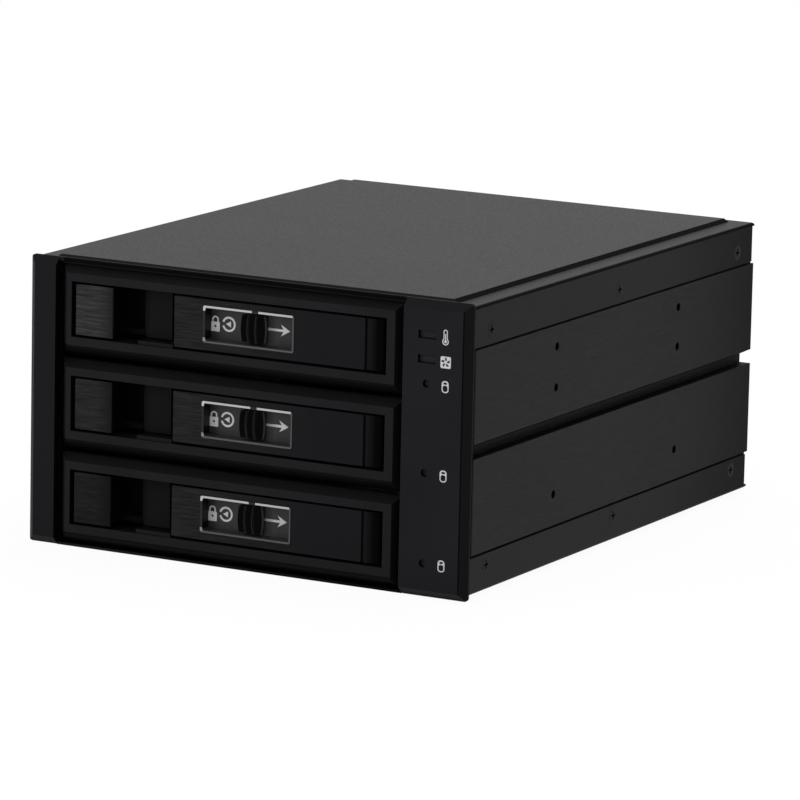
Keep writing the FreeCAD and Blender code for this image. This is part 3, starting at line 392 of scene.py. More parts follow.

# %% [markdown]
# ## Coats, mouldings and their tones
# The covers are powder coated, the walls and trays have a plainer coat of the same kind, and the
# bezel, tray fronts, levers, guides, sockets and fan are moulded plastic. Black is never quite
# black: each has its own dark tone, with a roughness and a gloss that set how wide and how
# bright its sheen is. One line for each finish keeps them easy to compare. Some lines also
# paint light: the bay walls' tone is painted far darker, as the shade inside the cage, a skin
# paints deeper faces black as shade, and the edge colours of the tray fronts and the sliders
# are painted highlights.

# %% Coats and mouldings
cover_coat = grained("cover_powder_coat", (0.0095, 0.0095, 0.0098), 0.42, 0.5, 0.010,
                     gloss=0.045)
bezel_plastic = grained("bezel_plastic", (0.0180, 0.0174, 0.0208), 0.50, 0.45, 0.008, gloss=0.03,
                        skin=front_skin(1.4))
light_plastic = grained("light_plastic", (0.0300, 0.0293, 0.0330), 0.45, 0.9, 0.002, gloss=0.03)
tray_plastic = grained("tray_plastic", (0.0178, 0.0176, 0.0192), 0.46, 0.45, 0.006, gloss=0.03,
                       skin=front_skin(3.8), painted_edge_tone=(0.026, 0.026, 0.028))
lever_plastic = grained("lever_plastic", (0.0112, 0.0110, 0.0118), 0.42, 0.6, 0.006, gloss=0.02,
                        skin=front_skin(6.6))
# Painted shade: the bay walls get a tone far darker than their coat, as the shade inside the cage.
shaded_wall_coat = grained("shaded_wall_powder_coat", (0.0030, 0.0030, 0.0033), 0.55, 0.6, 0.010, gloss=0.02)
tray_coat = grained("tray_powder_coat", (0.018, 0.018, 0.019), 0.50, 0.6, 0.012, gloss=0.3)
guide_plastic = grained("guide_plastic", (0.012, 0.012, 0.012), 0.45, 0.8, 0.006, gloss=0.3)
port_plastic = grained("port_plastic", (0.008, 0.008, 0.008), 0.30, 1.0, 0.003, gloss=0.4)
fan_plastic = grained("fan_plastic", (0.011, 0.011, 0.012), 0.28, 1.2, 0.003, gloss=0.4)
slider_plastic = grained("slider_plastic", (0.0012, 0.0012, 0.0014), 0.35, 0.8, 0.002, gloss=0.02,
                         painted_edge_tone=(0.030, 0.030, 0.032))
print("grained finishes made")

# %% [markdown]
# ## Slopes, side faces and recesses
# A moulding is one colour, yet its slopes and pockets read differently: a face turned to the
# right or upwards lies in shade here, and a pocket's walls are darker still. The next cells paint
# that shade and a few highlights into the colour, one kind of surface at a time, told by the way
# it faces and by where it lies. On the covers and sides the roughness follows too: a rougher face
# spreads the glare that it has at a low angle, which is how the folded edges and the far end of
# the sides turn matt.

# %% Kinds of surface
right_way, upwards = (1, 0, 0), (0, 0, 1)
slope = (0.35, 0.60)
wall = (0.90, 0.98)
right_slope = (facing, right_way, *slope)
upward_slope = (facing, upwards, *slope)
right_wall = (facing, right_way, *wall)
upward_wall = (facing, upwards, *wall)
towards_the_back = (along, "Y", -100, 210)     # 0 at the front, about 0.6 at the back
past_side, past_top = 80, 90                   # outside the cage, where a mask needs no limit
print("told apart:", slope, "is a slope,", wall, "is a wall")

# %% [markdown]
# ## The bezel, surface by surface
# The front bezel is one black moulding, painted a little darker at its left stile than at its
# right as shade. Its outer bevels catch less light than its face, so they get painted shade; its
# other slopes and walls are painted black as shade, its top face is painted darker, and the thin
# rail above the trays is painted near black as the shade of the top cover. Lamps alone can't
# tell these apart, because they light the rest of the cage too, so each surface gets its painted
# shade from a mask.

# %% Bezel
stile_x = 51.2
outer_bevel_x = 71
crown_z = 85
rail_left, rail_foot = -62, 83
overlay(bezel_plastic, (0.0150, 0.0146, 0.0166), (along, "X", stile_x, -stile_x))
overlay(bezel_plastic, (0.0098, 0.0095, 0.0108), upward_slope)
overlay(bezel_plastic, PAINTED_SHADE_BLACK, right_slope, (between, "X", -past_side, outer_bevel_x))
overlay(bezel_plastic, (0.0092, 0.0089, 0.0100), right_slope,
        (between, "X", outer_bevel_x, past_side))
overlay(bezel_plastic, PAINTED_SHADE_BLACK, upward_wall, (between, "Z", 0, crown_z))
overlay(bezel_plastic, (0.0110, 0.0107, 0.0120), upward_wall, (between, "Z", crown_z, past_top))
overlay(bezel_plastic, (0.0006, 0.0006, 0.0007), (between, "X", rail_left, stile_x),
        (between, "Z", rail_foot, past_top))
print("bezel toned, with", len(bezel_plastic.node_tree.nodes), "nodes in its finish")

# %% [markdown]
# ## The covers, surface by surface
# The covers are one sheet each, painted after folding. The edge of the raised field faces right
# and is painted darker as shade, and made more matt; the flanges are painted darker towards the
# back, as shade. A colour ramp along the length paints that dimming, and a roughness ramp takes
# the glare off with it.

# %% Covers
folded_edges = (between, "Z", 83.7, 85.7)
flange_dims_from, flange_dark_at = -40, 100
overlay(cover_coat, (0.0045, 0.0045, 0.0047), right_wall,
        (along, "Y", flange_dims_from, flange_dark_at))
overlay(cover_coat, (0.0064, 0.0064, 0.0067), right_slope, folded_edges)
matt(cover_coat, right_slope, folded_edges)
matt(cover_coat, right_wall, towards_the_back)
print("covers toned, with", len(cover_coat.node_tree.nodes), "nodes in their finish")

# %% [markdown]
# ## The tray fronts, surface by surface
# Each tray front is a frame with a bevel all round. Its upper and right bevels get painted shade.
# The bevel under it and the strip just above that bevel are in shade, painted darker, and its last
# millimetre is painted black as the shade of the gap between two trays. The bands are told by
# height alone, so one pair of lines in a loop serves all three trays.

# %% Tray fronts
overlay(tray_plastic, (0.0072, 0.0070, 0.0078), upward_slope)
overlay(tray_plastic, (0.0026, 0.0026, 0.0028), right_slope)
half_tray = 13.25
below, shaded_foot, black_foot = 0.5, 3.0, 0.95
for n in tray_numbers:
    foot = middle_height("tray_%d_front" % n) - half_tray
    overlay(tray_plastic, (0.0042, 0.0041, 0.0048),
            (between, "Z", foot - below, foot + shaded_foot))
    overlay(tray_plastic, PAINTED_SHADE_BLACK, (between, "Z", foot - below, foot + black_foot))
print("tray fronts toned, with", len(tray_plastic.node_tree.nodes), "nodes in their finish")

# %% [markdown]
# ## The levers and sliders, surface by surface
# The lever is painted darker towards black beside its hinge barrel, as shade on the curve, and
# black under the end of its plate, as shade in the gap; the lip that a finger hooks behind is
# painted darker at its tip, as shade. The sliders' ribs get a painted highlight on one side only.
# All three levers are alike and stand at the same place across, so the first one's box is enough.

# %% Levers and lock sliders
lever_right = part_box("handle_1_lever")[1][0] / MM
face_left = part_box("handle_1_face")[0][0] / MM
barrel_far, barrel_near = lever_right - 7.6, lever_right - 5.0
gap_half = 1.0
lip_start, lip_tip = face_left - 10.5, face_left - 13.0
rib_side = (0.80, 0.95)
overlay(lever_plastic, (0.0012, 0.0012, 0.0013), (along, "X", barrel_far, barrel_near))
overlay(lever_plastic, PAINTED_SHADE_BLACK, (between, "X", face_left - gap_half, face_left + gap_half))
overlay(lever_plastic, (0.0040, 0.0040, 0.0044), (along, "X", lip_start, lip_tip))
overlay(slider_plastic, (0.085, 0.085, 0.088), (facing, right_way, *rib_side))
print("levers toned between", round(lip_tip, 1), "and", round(barrel_near, 1), "mm across")

# %% [markdown]
# ## Brushed and anodised metal
# Brushing leaves long scratches in one direction. The same noise gives them, squeezed along the
# brushing direction: blobs become streaks. The streaks change the colour a little, since some
# scratches catch more light, and they tilt the surface, which draws the sheen out across them.
# The side panels are extrusions brushed from front to back; the small plates on the trays are
# brushed from side to side.

# %% Brushed finish
HAIR_DRIFT = 0.07              # how far the fine hairs move the roughness, either way
STREAK_DEPTH_MM = 0.006


def brushed(name, colour, roughness, axis, contrast, metal=0.6, streak_mm=0.45, gloss=0.3,
            skin=None, squeeze=0.03):
    """Anodised metal with streaks along an axis, which squeeze makes longer or shorter."""
    material, tree, shader = new_material(name)
    stretch = [1.0, 1.0, 1.0]
    stretch[axis] = squeeze
    space = object_space(tree, stretch)
    streaks = noise(tree, space, streak_mm, detail=4.0, roughness=0.75)
    hairs = noise(tree, space, streak_mm / 3, detail=1.0)
    dark = tuple(c * (1 - contrast) for c in colour)
    light = tuple(c * (1 + contrast) for c in colour)
    body = shade(tree, spread(tree, streaks, 0, 1), dark, light)
    if skin:
        body = shade(tree, outer_skin(tree, object_space(tree), *skin), PAINTED_SHADE_BLACK, body)
    tree.links.new(body, shader.inputs["Base Color"])
    varied = spread(tree, hairs, roughness - HAIR_DRIFT, roughness + HAIR_DRIFT)
    tree.links.new(varied, shader.inputs["Roughness"])
    shader.inputs["Metallic"].default_value = metal
    shader.inputs["Specular IOR Level"].default_value = gloss
    bumped(tree, shader, streaks, STREAK_DEPTH_MM)
    return material


print("brushed() ready")

# %% [markdown]
# ## The side panels
# Extruded aluminium, brushed from front to back and anodised black. The brushing shows only as
# a faint grain. The panel is painted darker towards the back, as shade; a painted line of shade
# marks its joint with the bezel, the rail groove is painted in shade, and everything a little
# inside the outer face is painted black as shade. A line that thin could be a groove in the mesh;
# as a mask it costs no faces and stays sharp.

# %% Side panels
side_low, side_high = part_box("side_panel_right")
side_half = side_high[0] / MM
side_front = side_low[1] / MM
skin_mm, groove_skin_mm = 0.6, 0.3
groove_floor_x = 68.0
joint_line_mm = 0.75
side_aluminium = brushed("side_aluminium", (0.0165, 0.0165, 0.0172), 0.50, 1, 0.07, metal=0.0,
                         gloss=0.05, skin=("X", side_half - skin_mm))
overlay(side_aluminium, (0.0045, 0.0045, 0.0047), (along, "Y", 0, 100))
overlay(side_aluminium, PAINTED_SHADE_BLACK,
        (between, "Y", side_front - 0.1, side_front + joint_line_mm))
overlay(side_aluminium, (0.0030, 0.0030, 0.0032),
        (between, "X", groove_floor_x, side_half - groove_skin_mm))
matt(side_aluminium, towards_the_back)
print("side panels brushed, front edge at", round(side_front, 2))

# %% [markdown]
# ## The plates on the trays, and bare steel
# The three plates come from one sheet. Each is a copy of one finish with its tone painted for the
# light at its own height, lighter the higher it stands, so each has its own material. Their right
# ends are painted darker as shade, and the handle faces are painted darker towards the right as
# shade. Screws and shafts are plain bright steel.

# %% Plates on the trays, and bare steel
trim_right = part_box("tray_1_trim")[1][0] / MM
fade_mm, faded = 5.0, 0.42
plate_lit_tones = {1: 0.0125, 2: 0.0205, 3: 0.038}
plate_aluminium = {}
# Painted light: each plate's tone is set for its height, and its right end is painted darker as
# shade.
for n, tone in plate_lit_tones.items():
    plate_aluminium[n] = brushed("plate_aluminium_%d" % n, (tone, tone, tone * 1.02), 0.42, 0, 0.65,
                                 metal=0.3, streak_mm=0.7, gloss=0.05, squeeze=0.07)
    overlay(plate_aluminium[n], (tone * faded, tone * faded, tone * (faded + 0.01)),
            (along, "X", trim_right - fade_mm, trim_right))
face_aluminium = brushed("face_aluminium", (0.0190, 0.0190, 0.0194), 0.42, 0, 0.60, metal=0.2,
                         streak_mm=0.7, gloss=0.05, squeeze=0.07)
# Painted shade: the handle faces darken towards the right.
overlay(face_aluminium, (0.0105, 0.0102, 0.0118), (along, "X", -20, 22))
screw_steel = brushed("screw_steel", (0.45, 0.45, 0.46), 0.32, 0, 0.08, metal=1.0, streak_mm=0.8)
shaft_steel = brushed("shaft_steel", (0.60, 0.60, 0.61), 0.20, 2, 0.05, metal=1.0, streak_mm=0.5)
print("brushed finishes made")

# %% [markdown]
# ## The other finishes
# Black oxide screws, gold contacts, a bearing of sintered brass, pale and black chips, bare
# capacitor cans and white screen print. They are small, so a grained finish with its own colour,
# roughness and metal is all they need. The black oxide screws and hinge pins get a painted
# highlight along their edges. The heads in the covers have the covers' tone, with painted shade
# making their recesses and edges black.

# %% Screws, contacts, chips and print
screw_black = grained("screw_black", (0.006, 0.006, 0.0065), 0.40, 0.6, 0.004, gloss=0.04,
                      painted_edge_tone=(0.020, 0.020, 0.021))
cover_screw_black = grained("cover_screw_black", (0.0095, 0.0095, 0.0098), 0.42, 0.5, 0.004,
                            gloss=0.045, skin=("X", side_half - 0.25),
                            painted_edge_tone=(0.0008, 0.0008, 0.0008))
bearing_brass = grained("bearing_brass", (0.45, 0.32, 0.12), 0.45, 0.5, 0.01, gloss=0.5,
                        metal=1.0)
gold_contact = grained("gold_contact", (0.80, 0.55, 0.18), 0.22, 1.0, 0.001, gloss=0.5,
                       metal=1.0)
chip_white = grained("chip_white", (0.60, 0.60, 0.54), 0.40, 0.8, 0.002, gloss=0.4)
print_white = grained("print_white", (0.80, 0.80, 0.80), 0.55, 0.5, 0.002, drift=0.06, gloss=0.2)
chip_black = grained("chip_black", (0.015, 0.015, 0.015), 0.40, 0.5, 0.004, gloss=0.4)
can_metal = grained("can_metal", (0.30, 0.30, 0.32), 0.38, 0.8, 0.002, gloss=0.5, metal=1.0)
print("screws, contacts, chips and print made")

# %% [markdown]
# ## The circuit board
# A green board, with its copper tracks just showing through the solder mask. The tracks could be
# drawn one by one, but behind the trays only their rhythm shows. A brick texture gives it: the
# bricks are the bare mask, and the thin mortar lines are the tracks.

# %% Circuit board
def circuit_board(name):
    """Solder mask over copper tracks."""
    material, tree, shader = new_material(name)
    space = object_space(tree)
    turned = add(tree, "Mapping")
    turned.inputs["Rotation"].default_value = (math.radians(90), 0, 0)
    tree.links.new(space, turned.inputs["Vector"])
    tracks = add(tree, "TexBrick", Scale=1000.0, offset=0.37, squash=1.0)
    tracks.inputs["Color1"].default_value = (0.006, 0.030, 0.016, 1)
    tracks.inputs["Color2"].default_value = (0.007, 0.034, 0.018, 1)
    tracks.inputs["Mortar"].default_value = (0.016, 0.070, 0.036, 1)
    tracks.inputs["Mortar Size"].default_value = 0.16
    tracks.inputs["Brick Width"].default_value = 9.0
    tracks.inputs["Row Height"].default_value = 1.6
    tree.links.new(turned.outputs["Vector"], tracks.inputs["Vector"])
    tree.links.new(tracks.outputs["Color"], shader.inputs["Base Color"])
    shader.inputs["Roughness"].default_value = 0.30
    bumped(tree, shader, tracks.outputs["Fac"], depth_mm=0.02)
    return material


board_green = circuit_board("board_green")
print("board made")

# %% [markdown]
# ## The lock window
# One moulding holds both the rim and the grey floor of the lock window. It could be cut in two
# objects; instead, the material asks how deep a point lies: the front skin of the rim gets the
# rim's tones, everything behind it is grey. The rim is a thin rounded wire, and each side of it
# would catch another part of the room; the flat solid can't show that, so the material paints
# it: a painted highlight on the top, greyer painted reflection on the bottom and the right, and
# painted shade on the left apart from painted highlights at its two ends. The Generated
# coordinates run from 0 to 1 across the moulding and tell the sides apart. Above the slider the
# painted highlight stops for two millimetres, and the rim there gets its painted shade tone.

# %% Rim of the lock window
# Painted shade: the rim's tone where it lies in shade.
RIM_SHADE_TONE = (0.010, 0.010, 0.011)


def unlit_above_slider(tree, across, upward, middle=0.573, half_width=0.036):
    """1 above the slider, where the rim's painted highlight stops; places are shares of the
    moulding.
    """
    distance = calculate(tree, "ABSOLUTE", calculate(tree, "SUBTRACT", across, middle))
    in_upper_half = past(tree, upward, 0.5)
    return both(tree, past(tree, distance, half_width, above=False), in_upper_half)


def painted_rim_light(tree, across, upward):
    """The rim's painted highlights and shade, side by side; places are shares of the moulding."""
    left_end, right_end = 0.03, 0.984
    bottom_wire, top_wire = 0.045, 0.945
    low_corner, high_corner = 0.14, 0.86
    left = past(tree, across, left_end, above=False)
    left_foot = both(tree, left, past(tree, upward, low_corner, above=False))
    left_head = both(tree, left, past(tree, upward, high_corner))
    rim = shade(tree, left_foot, RIM_SHADE_TONE, (0.34, 0.34, 0.34))
    rim = shade(tree, past(tree, upward, bottom_wire, above=False), rim, (0.11, 0.11, 0.115))
    rim = shade(tree, past(tree, upward, top_wire), rim, (0.66, 0.66, 0.66))
    rim = shade(tree, left_head, rim, (0.70, 0.70, 0.70))
    rim = shade(tree, past(tree, across, right_end), rim, (0.09, 0.09, 0.09))
    return shade(tree, unlit_above_slider(tree, across, upward), rim, RIM_SHADE_TONE)


print("rim tones ready")

# %% [markdown]
# ## The window's floor and walls
# Behind the rim lies the grey floor that carries the signs. Its walls that face right are painted
# black as shade. Right of the slider the floor gets a painted patch of light, where light would
# pass over the rim, and that painted patch fades towards the arrow. It is part of the same
# material, because the floor is one flat face.

# %% Two-tone window
def rim_and_floor(name, rim_depth_mm):
    """The painted rim down to rim_depth_mm behind the bezel's front, grey behind it."""
    material, tree, shader = new_material(name)
    space = object_space(tree)
    share = add(tree, "TexCoord").outputs["Generated"]
    rim = painted_rim_light(tree, coordinate(tree, share, "X"), coordinate(tree, share, "Z"))
    skin = outer_skin(tree, space, *front_skin(rim_depth_mm))
    tree.links.new(shade(tree, skin, (0.029, 0.029, 0.031), rim), shader.inputs["Base Color"])
    shader.inputs["Roughness"].default_value = 0.42
    shader.inputs["Specular IOR Level"].default_value = 0.25
    fine = noise(tree, space, 0.6, detail=2.0)
    bumped(tree, shader, fine, depth_mm=0.003, edge_mm=0.1)
    return material


patch_left, patch_bright, patch_faded, patch_right = 5.0, 6.0, 9.5, 10.0
window_painted_rim_and_floor = rim_and_floor("window_painted_rim_and_floor", 1.45)
overlay(window_painted_rim_and_floor, PAINTED_SHADE_BLACK, right_wall)
overlay(window_painted_rim_and_floor, (0.080, 0.080, 0.084), (between, "Y", front_y + 4, front_y + 8),
        (between, "X", patch_left, patch_right), (along, "X", patch_faded, patch_bright))
print("window finish made")

# %% [markdown]
# ## Give every solid its finish
# The solids keep their shapes. Each gets its material by name. A default for the rest would be
# shorter, but a list that names every solid stops the script when one is forgotten.

# %% Assign finishes to the solids
finish_of = {
    "front_bezel": bezel_plastic, "status_windows": light_plastic, "led_board": board_green,
    "led_chips": chip_white, "led_board_screws": screw_black,
    "top_cover": cover_coat, "bottom_cover": cover_coat, "cover_screws": cover_screw_black,
    "side_panel_right": side_aluminium, "side_panel_left": side_aluminium,
    "bay_wall_right": shaded_wall_coat, "bay_wall_left": shaded_wall_coat,
    "tray_guides_right": guide_plastic, "tray_guides_left": guide_plastic,
    "backplane_board": board_green, "drive_connectors": port_plastic,
    "data_ports": port_plastic, "power_inlets": port_plastic, "backplane_screws": screw_steel,
    "rear_panel": cover_coat, "rear_screws": screw_black, "fan_housing": fan_plastic,
    "fan_bearing": bearing_brass, "fan_screws": screw_black, "fan_rotor": fan_plastic,
    "fan_shaft": shaft_steel,
}
for n in tray_numbers:
    finish_of.update({
        "tray_%d_base" % n: tray_coat, "tray_%d_front" % n: tray_plastic,
        "tray_%d_trim" % n: plate_aluminium[n], "tray_%d_hinge_pin" % n: screw_black,
        "tray_%d_screws" % n: screw_steel, "handle_%d_lever" % n: lever_plastic,
        "handle_%d_face" % n: face_aluminium, "handle_%d_window" % n: window_painted_rim_and_floor,
        "lock_%d_slider" % n: slider_plastic,
    })

for name, solid in nodes.items():
    solid.data.materials.clear()
    solid.data.materials.append(finish_of[name])
print("finishes given to", len(nodes), "solids")

# %% [markdown]
# ## Printed signs
# The signs on the bezel and in the lock windows are screen print: flat white shapes a few
# hundredths of a millimetre thick. A sign is easiest to draw as filled outlines, where a second
# outline inside the first is a hole. Blender's flat curves do that filling; the result is turned
# into a mesh, stood upright and pushed to its place.

# %% Outline tools
def ellipse(x, z, half_width, half_height, steps=28):
    """An ellipse round a middle, as short straight lines."""
    return [(x + half_width * math.cos(2 * math.pi * k / steps),
             z + half_height * math.sin(2 * math.pi * k / steps)) for k in range(steps)]


def circle(x, z, radius, steps=28):
    """A circle round a middle."""
    return ellipse(x, z, radius, radius, steps)


def band(x, z, inner, outer, start_deg, end_deg, steps=24):
    """A slice of a ring from one angle to another."""
    angles = [math.radians(start_deg + (end_deg - start_deg) * k / steps) for k in range(steps + 1)]
    there = [(x + outer * math.cos(a), z + outer * math.sin(a)) for a in angles]
    back = [(x + inner * math.cos(a), z + inner * math.sin(a)) for a in reversed(angles)]
    return there + back


def soft_box(x0, x1, z0, z1, radius, steps=6):
    """A rectangle with rounded corners."""
    corners = ((x1 - radius, z1 - radius, 0), (x0 + radius, z1 - radius, 90),
               (x0 + radius, z0 + radius, 180), (x1 - radius, z0 + radius, 270))
    outline = []
    for cx, cz, start in corners:
        for k in range(steps + 1):
            angle = math.radians(start + 90 * k / steps)
            outline.append((cx + radius * math.cos(angle), cz + radius * math.sin(angle)))
    return outline


print("outline tools ready")

# %% [markdown]
# ## From outlines to a printed sign
# Filling outlines with holes by hand is fiddly; a flat curve with its fill set to both sides
# does it in one step. Each group is filled by itself and joined to the others in one mesh.

# %% Filled outlines
PRINT_MM = 0.04                # thickness of a sign


def filled(groups):
    """A mesh in the XZ plane, front towards -Y, from groups of outlines; later ones are holes."""
    sheet = bmesh.new()
    for outlines in groups:
        curve = bpy.data.curves.new("sign_outline", "CURVE")
        curve.dimensions = "2D"
        curve.fill_mode = "BOTH"
        curve.extrude = PRINT_MM * MM / 2
        for outline in outlines:
            spline = curve.splines.new("POLY")
            spline.points.add(len(outline) - 1)
            for point, (x, z) in zip(spline.points, outline):
                point.co = (x * MM, z * MM, 0, 1)
            spline.use_cyclic_u = True
        holder = bpy.data.objects.new("sign_outline", curve)
        part = bpy.data.meshes.new_from_object(holder)
        sheet.from_mesh(part)
        bpy.data.objects.remove(holder)
        bpy.data.curves.remove(curve)
        bpy.data.meshes.remove(part)
    bmesh.ops.remove_doubles(sheet, verts=sheet.verts, dist=1e-7)
    bmesh.ops.rotate(sheet, verts=sheet.verts, matrix=Matrix.Rotation(math.radians(90), 3, "X"))
    mesh = bpy.data.meshes.new("sign")
    sheet.to_mesh(mesh)
    sheet.free()
    return mesh


print("outlines can be filled")

# %% [markdown]
# ## Handing a piece over
# A piece made here is more than a mesh. It needs a finish, a place in the scene, the material
# slot that its finish belongs to, and the body that it moves with: a sign in a lock window has
# to swing out with its handle. Parenting by hand would do that too, but it is easily forgotten,
# so every piece passes through one helper.

# %% Pieces and signs
def attach(piece, material, body):
    """Give a piece its finish and its slot, put it in the scene, and let it ride on a body."""
    piece.data.materials.append(material)
    scene.collection.objects.link(piece)
    bpy.context.view_layer.update()
    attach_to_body(piece, body)


def sign(name, groups, x, depth, z, body):
    """A printed sign whose middle sits at the given place, riding on a body."""
    piece = bpy.data.objects.new(name, filled(groups))
    piece.location = place(x, depth, z)
    attach(piece, print_white, body)


print("sign tools ready")

# %% [markdown]
# ## Signs in the lock windows
# Each window shows a padlock, a ring with a pointer, and an arrow that says which way the slider
# unlocks. A symbol font could give them, but a font is a file from outside, and a few points
# are enough. They lie on the window's floor, which moves with the handle, so they ride on it.

# %% Padlock, ring and arrow
padlock = [[soft_box(-1.45, 1.45, -2.5, 0.35, 0.25), circle(0, -0.95, 0.36, 14)],
           [band(0, 0.95, 0.62, 1.12, 0, 180)],
           [[(0.62, 0.35), (1.12, 0.35), (1.12, 0.95), (0.62, 0.95)]],
           [[(-1.12, 0.35), (-0.62, 0.35), (-0.62, 0.95), (-1.12, 0.95)]]]
ring = [[band(0, 0, 1.62, 2.25, 196, 524)], [[(-1.00, 0), (0.70, -0.90), (0.70, 0.90)]]]
arrow = [[[(-3.7, -0.38), (1.4, -0.38), (0.55, -1.75), (3.7, 0), (0.55, 1.75), (1.4, 0.38),
           (-3.7, 0.38)]]]

window_floor_depth = 4.9
sign_depth = window_floor_depth - 0.03
sign_rise = 0.05
for n in tray_numbers:
    z = window_z[n] + sign_rise
    for label, outlines, x in (("padlock", padlock, -12.4), ("ring", ring, -7.9),
                               ("arrow", arrow, 8.7)):
        sign("%s_sign_%d" % (label, n), outlines, x, sign_depth, z, "handle_%d" % n)
print("window signs made, on floors", window_floor_depth, "mm behind the bezel's front")

# %% [markdown]
# ## Signs beside the status lights
# The right stile has a light for heat, one for the fan, and one for each drive, each with its
# sign: a thermometer, a fan in a square, and a stack of disks drawn as a drum. The fan's five
# blades are one leaf turned five times, and the thermometer is one outline used at three sizes.

# %% Outlines of the stile's signs
def petal(turn_deg):
    """One blade of the fan sign: a leaf from the hub outwards."""
    leaf = [(0.40, 0.00), (0.80, -0.14), (1.30, 0.16), (1.20, 0.78), (0.88, 0.46), (0.48, 0.32)]
    a = math.radians(turn_deg)
    return [(x * math.cos(a) - z * math.sin(a), x * math.sin(a) + z * math.cos(a)) for x, z in leaf]


def bulb_and_stem(radius, half_stem, base_z, top_z, steps=20):
    """The outline of a thermometer: a round bulb that runs into a stem with a round top."""
    meet = math.acos(half_stem / radius)
    bulb = [(radius * math.cos(a), base_z + radius * math.sin(a))
            for a in (meet - (math.pi + 2 * meet) * k / steps for k in range(steps + 1))]
    cap_z = top_z - half_stem
    cap = [(half_stem * math.cos(a), cap_z + half_stem * math.sin(a))
           for a in (math.pi - math.pi * k / 10 for k in range(11))]
    return bulb + cap


print("petal and thermometer outlines ready")

# %% [markdown]
# ## The five signs of the stile
# They stand in one column right of the lights. Each is a little proud of the bezel, by about a
# hundredth of a millimetre, as ink is; flush faces would flicker in the render. One solid holds
# all the lights, so the heights of the signs beside them are given here.

# %% Place the stile's signs
thermometer = [[bulb_and_stem(1.05, 0.68, -1.10, 2.35), bulb_and_stem(0.72, 0.36, -1.10, 2.02)],
               [bulb_and_stem(0.44, 0.17, -1.10, 1.15)]]
fan_sign = [[soft_box(-1.65, 1.65, -1.7, 1.7, 0.45)] + [petal(k * 72) for k in range(5)]]
drum = [[soft_box(-1.12, 1.12, -1.72, 1.72, 0.92), soft_box(-0.76, 0.76, -1.36, 0.35, 0.55),
         ellipse(0, 0.98, 0.62, 0.32)]]

sign_column = 65.4
heat_z, fan_z, drum_z = 75.4, 68.4, (9.9, 35.8, 61.4)
bezel_signs = [("thermometer_sign", thermometer, sign_column - 0.2, heat_z),
               ("fan_sign", fan_sign, sign_column, fan_z)]
bezel_signs += [("drum_sign_%d" % n, drum, sign_column, z) for n, z in zip(tray_numbers, drum_z)]
bezel_print_depth = 0.012
for name, outlines, x, z in bezel_signs:
    sign(name, outlines, x, bezel_print_depth, z, "cage")
print(len(bezel_signs), "status signs made")

# %% [markdown]
# ## Contacts and parts on the backplane
# Behind the trays stands the backplane, a circuit board that carries the drives' sockets on one
# side and the cables' plugs on the other. The solids hold its board and housings; the small
# things on them are made here: gold-plated contact strips, a few chips and the capacitors that
# smooth the supply. Each group is one mesh made by a loop, since the strips differ only in place.

# %% Small blocks and capacitors
def finished(name, parts, material):
    """Turn a bmesh into a piece that stays with the cage."""
    mesh = bpy.data.meshes.new(name)
    parts.to_mesh(mesh)
    parts.free()
    attach(bpy.data.objects.new(name, mesh), material, "cage")


def blocks(name, spans, material, edge_mm):
    """One mesh of softened blocks; a span is x0, x1, depth0, depth1, z0, z1 in millimetres."""
    parts = bmesh.new()
    for x0, x1, y0, y1, z0, z1 in spans:
        low, high = place(x0, y0, z0), place(x1, y1, z1)
        made = bmesh.ops.create_cube(parts, size=1.0)["verts"]
        bmesh.ops.scale(parts, verts=made, vec=high - low)
        bmesh.ops.translate(parts, verts=made, vec=(low + high) / 2)
    bmesh.ops.bevel(parts, geom=parts.edges[:], offset=edge_mm * MM, segments=2, affect="EDGES")
    finished(name, parts, material)


def capacitor(name, x, depth, z, radius, height):
    """A can that stands on the board: pinched near its foot, with a rounded, dished top."""
    outline = [(0.0, 0.00), (0.92, 0.00), (1.00, 0.04), (1.00, 0.14), (0.86, 0.18), (1.00, 0.23),
               (1.00, 0.95), (0.93, 1.00), (0.30, 0.985), (0.0, 0.985)]
    parts = bmesh.new()
    spine = [parts.verts.new((r * radius * MM, h * height * MM, 0)) for r, h in outline]
    rail = [parts.edges.new(pair) for pair in zip(spine, spine[1:])]
    bmesh.ops.spin(parts, geom=spine + rail, cent=(0, 0, 0), axis=(0, 1, 0), angle=2 * math.pi,
                   steps=24, use_duplicate=False)
    bmesh.ops.remove_doubles(parts, verts=parts.verts, dist=1e-7)
    bmesh.ops.recalc_face_normals(parts, faces=parts.faces)
    bmesh.ops.translate(parts, verts=parts.verts, vec=place(x, depth, z))
    finished(name, parts, can_metal)


print("block tools ready")

# %% [markdown]
# ## Place them
# A drive socket has 22 contacts: 15 for power in the long slot and 7 for data in the short one,
# 1.27 mm apart. A data plug has 7, a power plug has 4 broad ones. Where the housings' boxes
# give a place, it is read from them, so that the strips follow the solids; how far a strip
# stands from there is a named length.

# %% Places on the backplane
board_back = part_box("backplane_board")[1][1] / MM - front_y
socket_low, socket_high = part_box("drive_connectors")
socket_x0 = socket_low[0] / MM
socket_back = socket_high[1] / MM - front_y
port_middle = (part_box("data_ports")[0][0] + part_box("data_ports")[1][0]) / 2 / MM
power_middle = (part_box("power_inlets")[0][0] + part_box("power_inlets")[1][0]) / 2 / MM
tray_middle = {n: middle_height("tray_%d_front" % n) for n in tray_numbers}

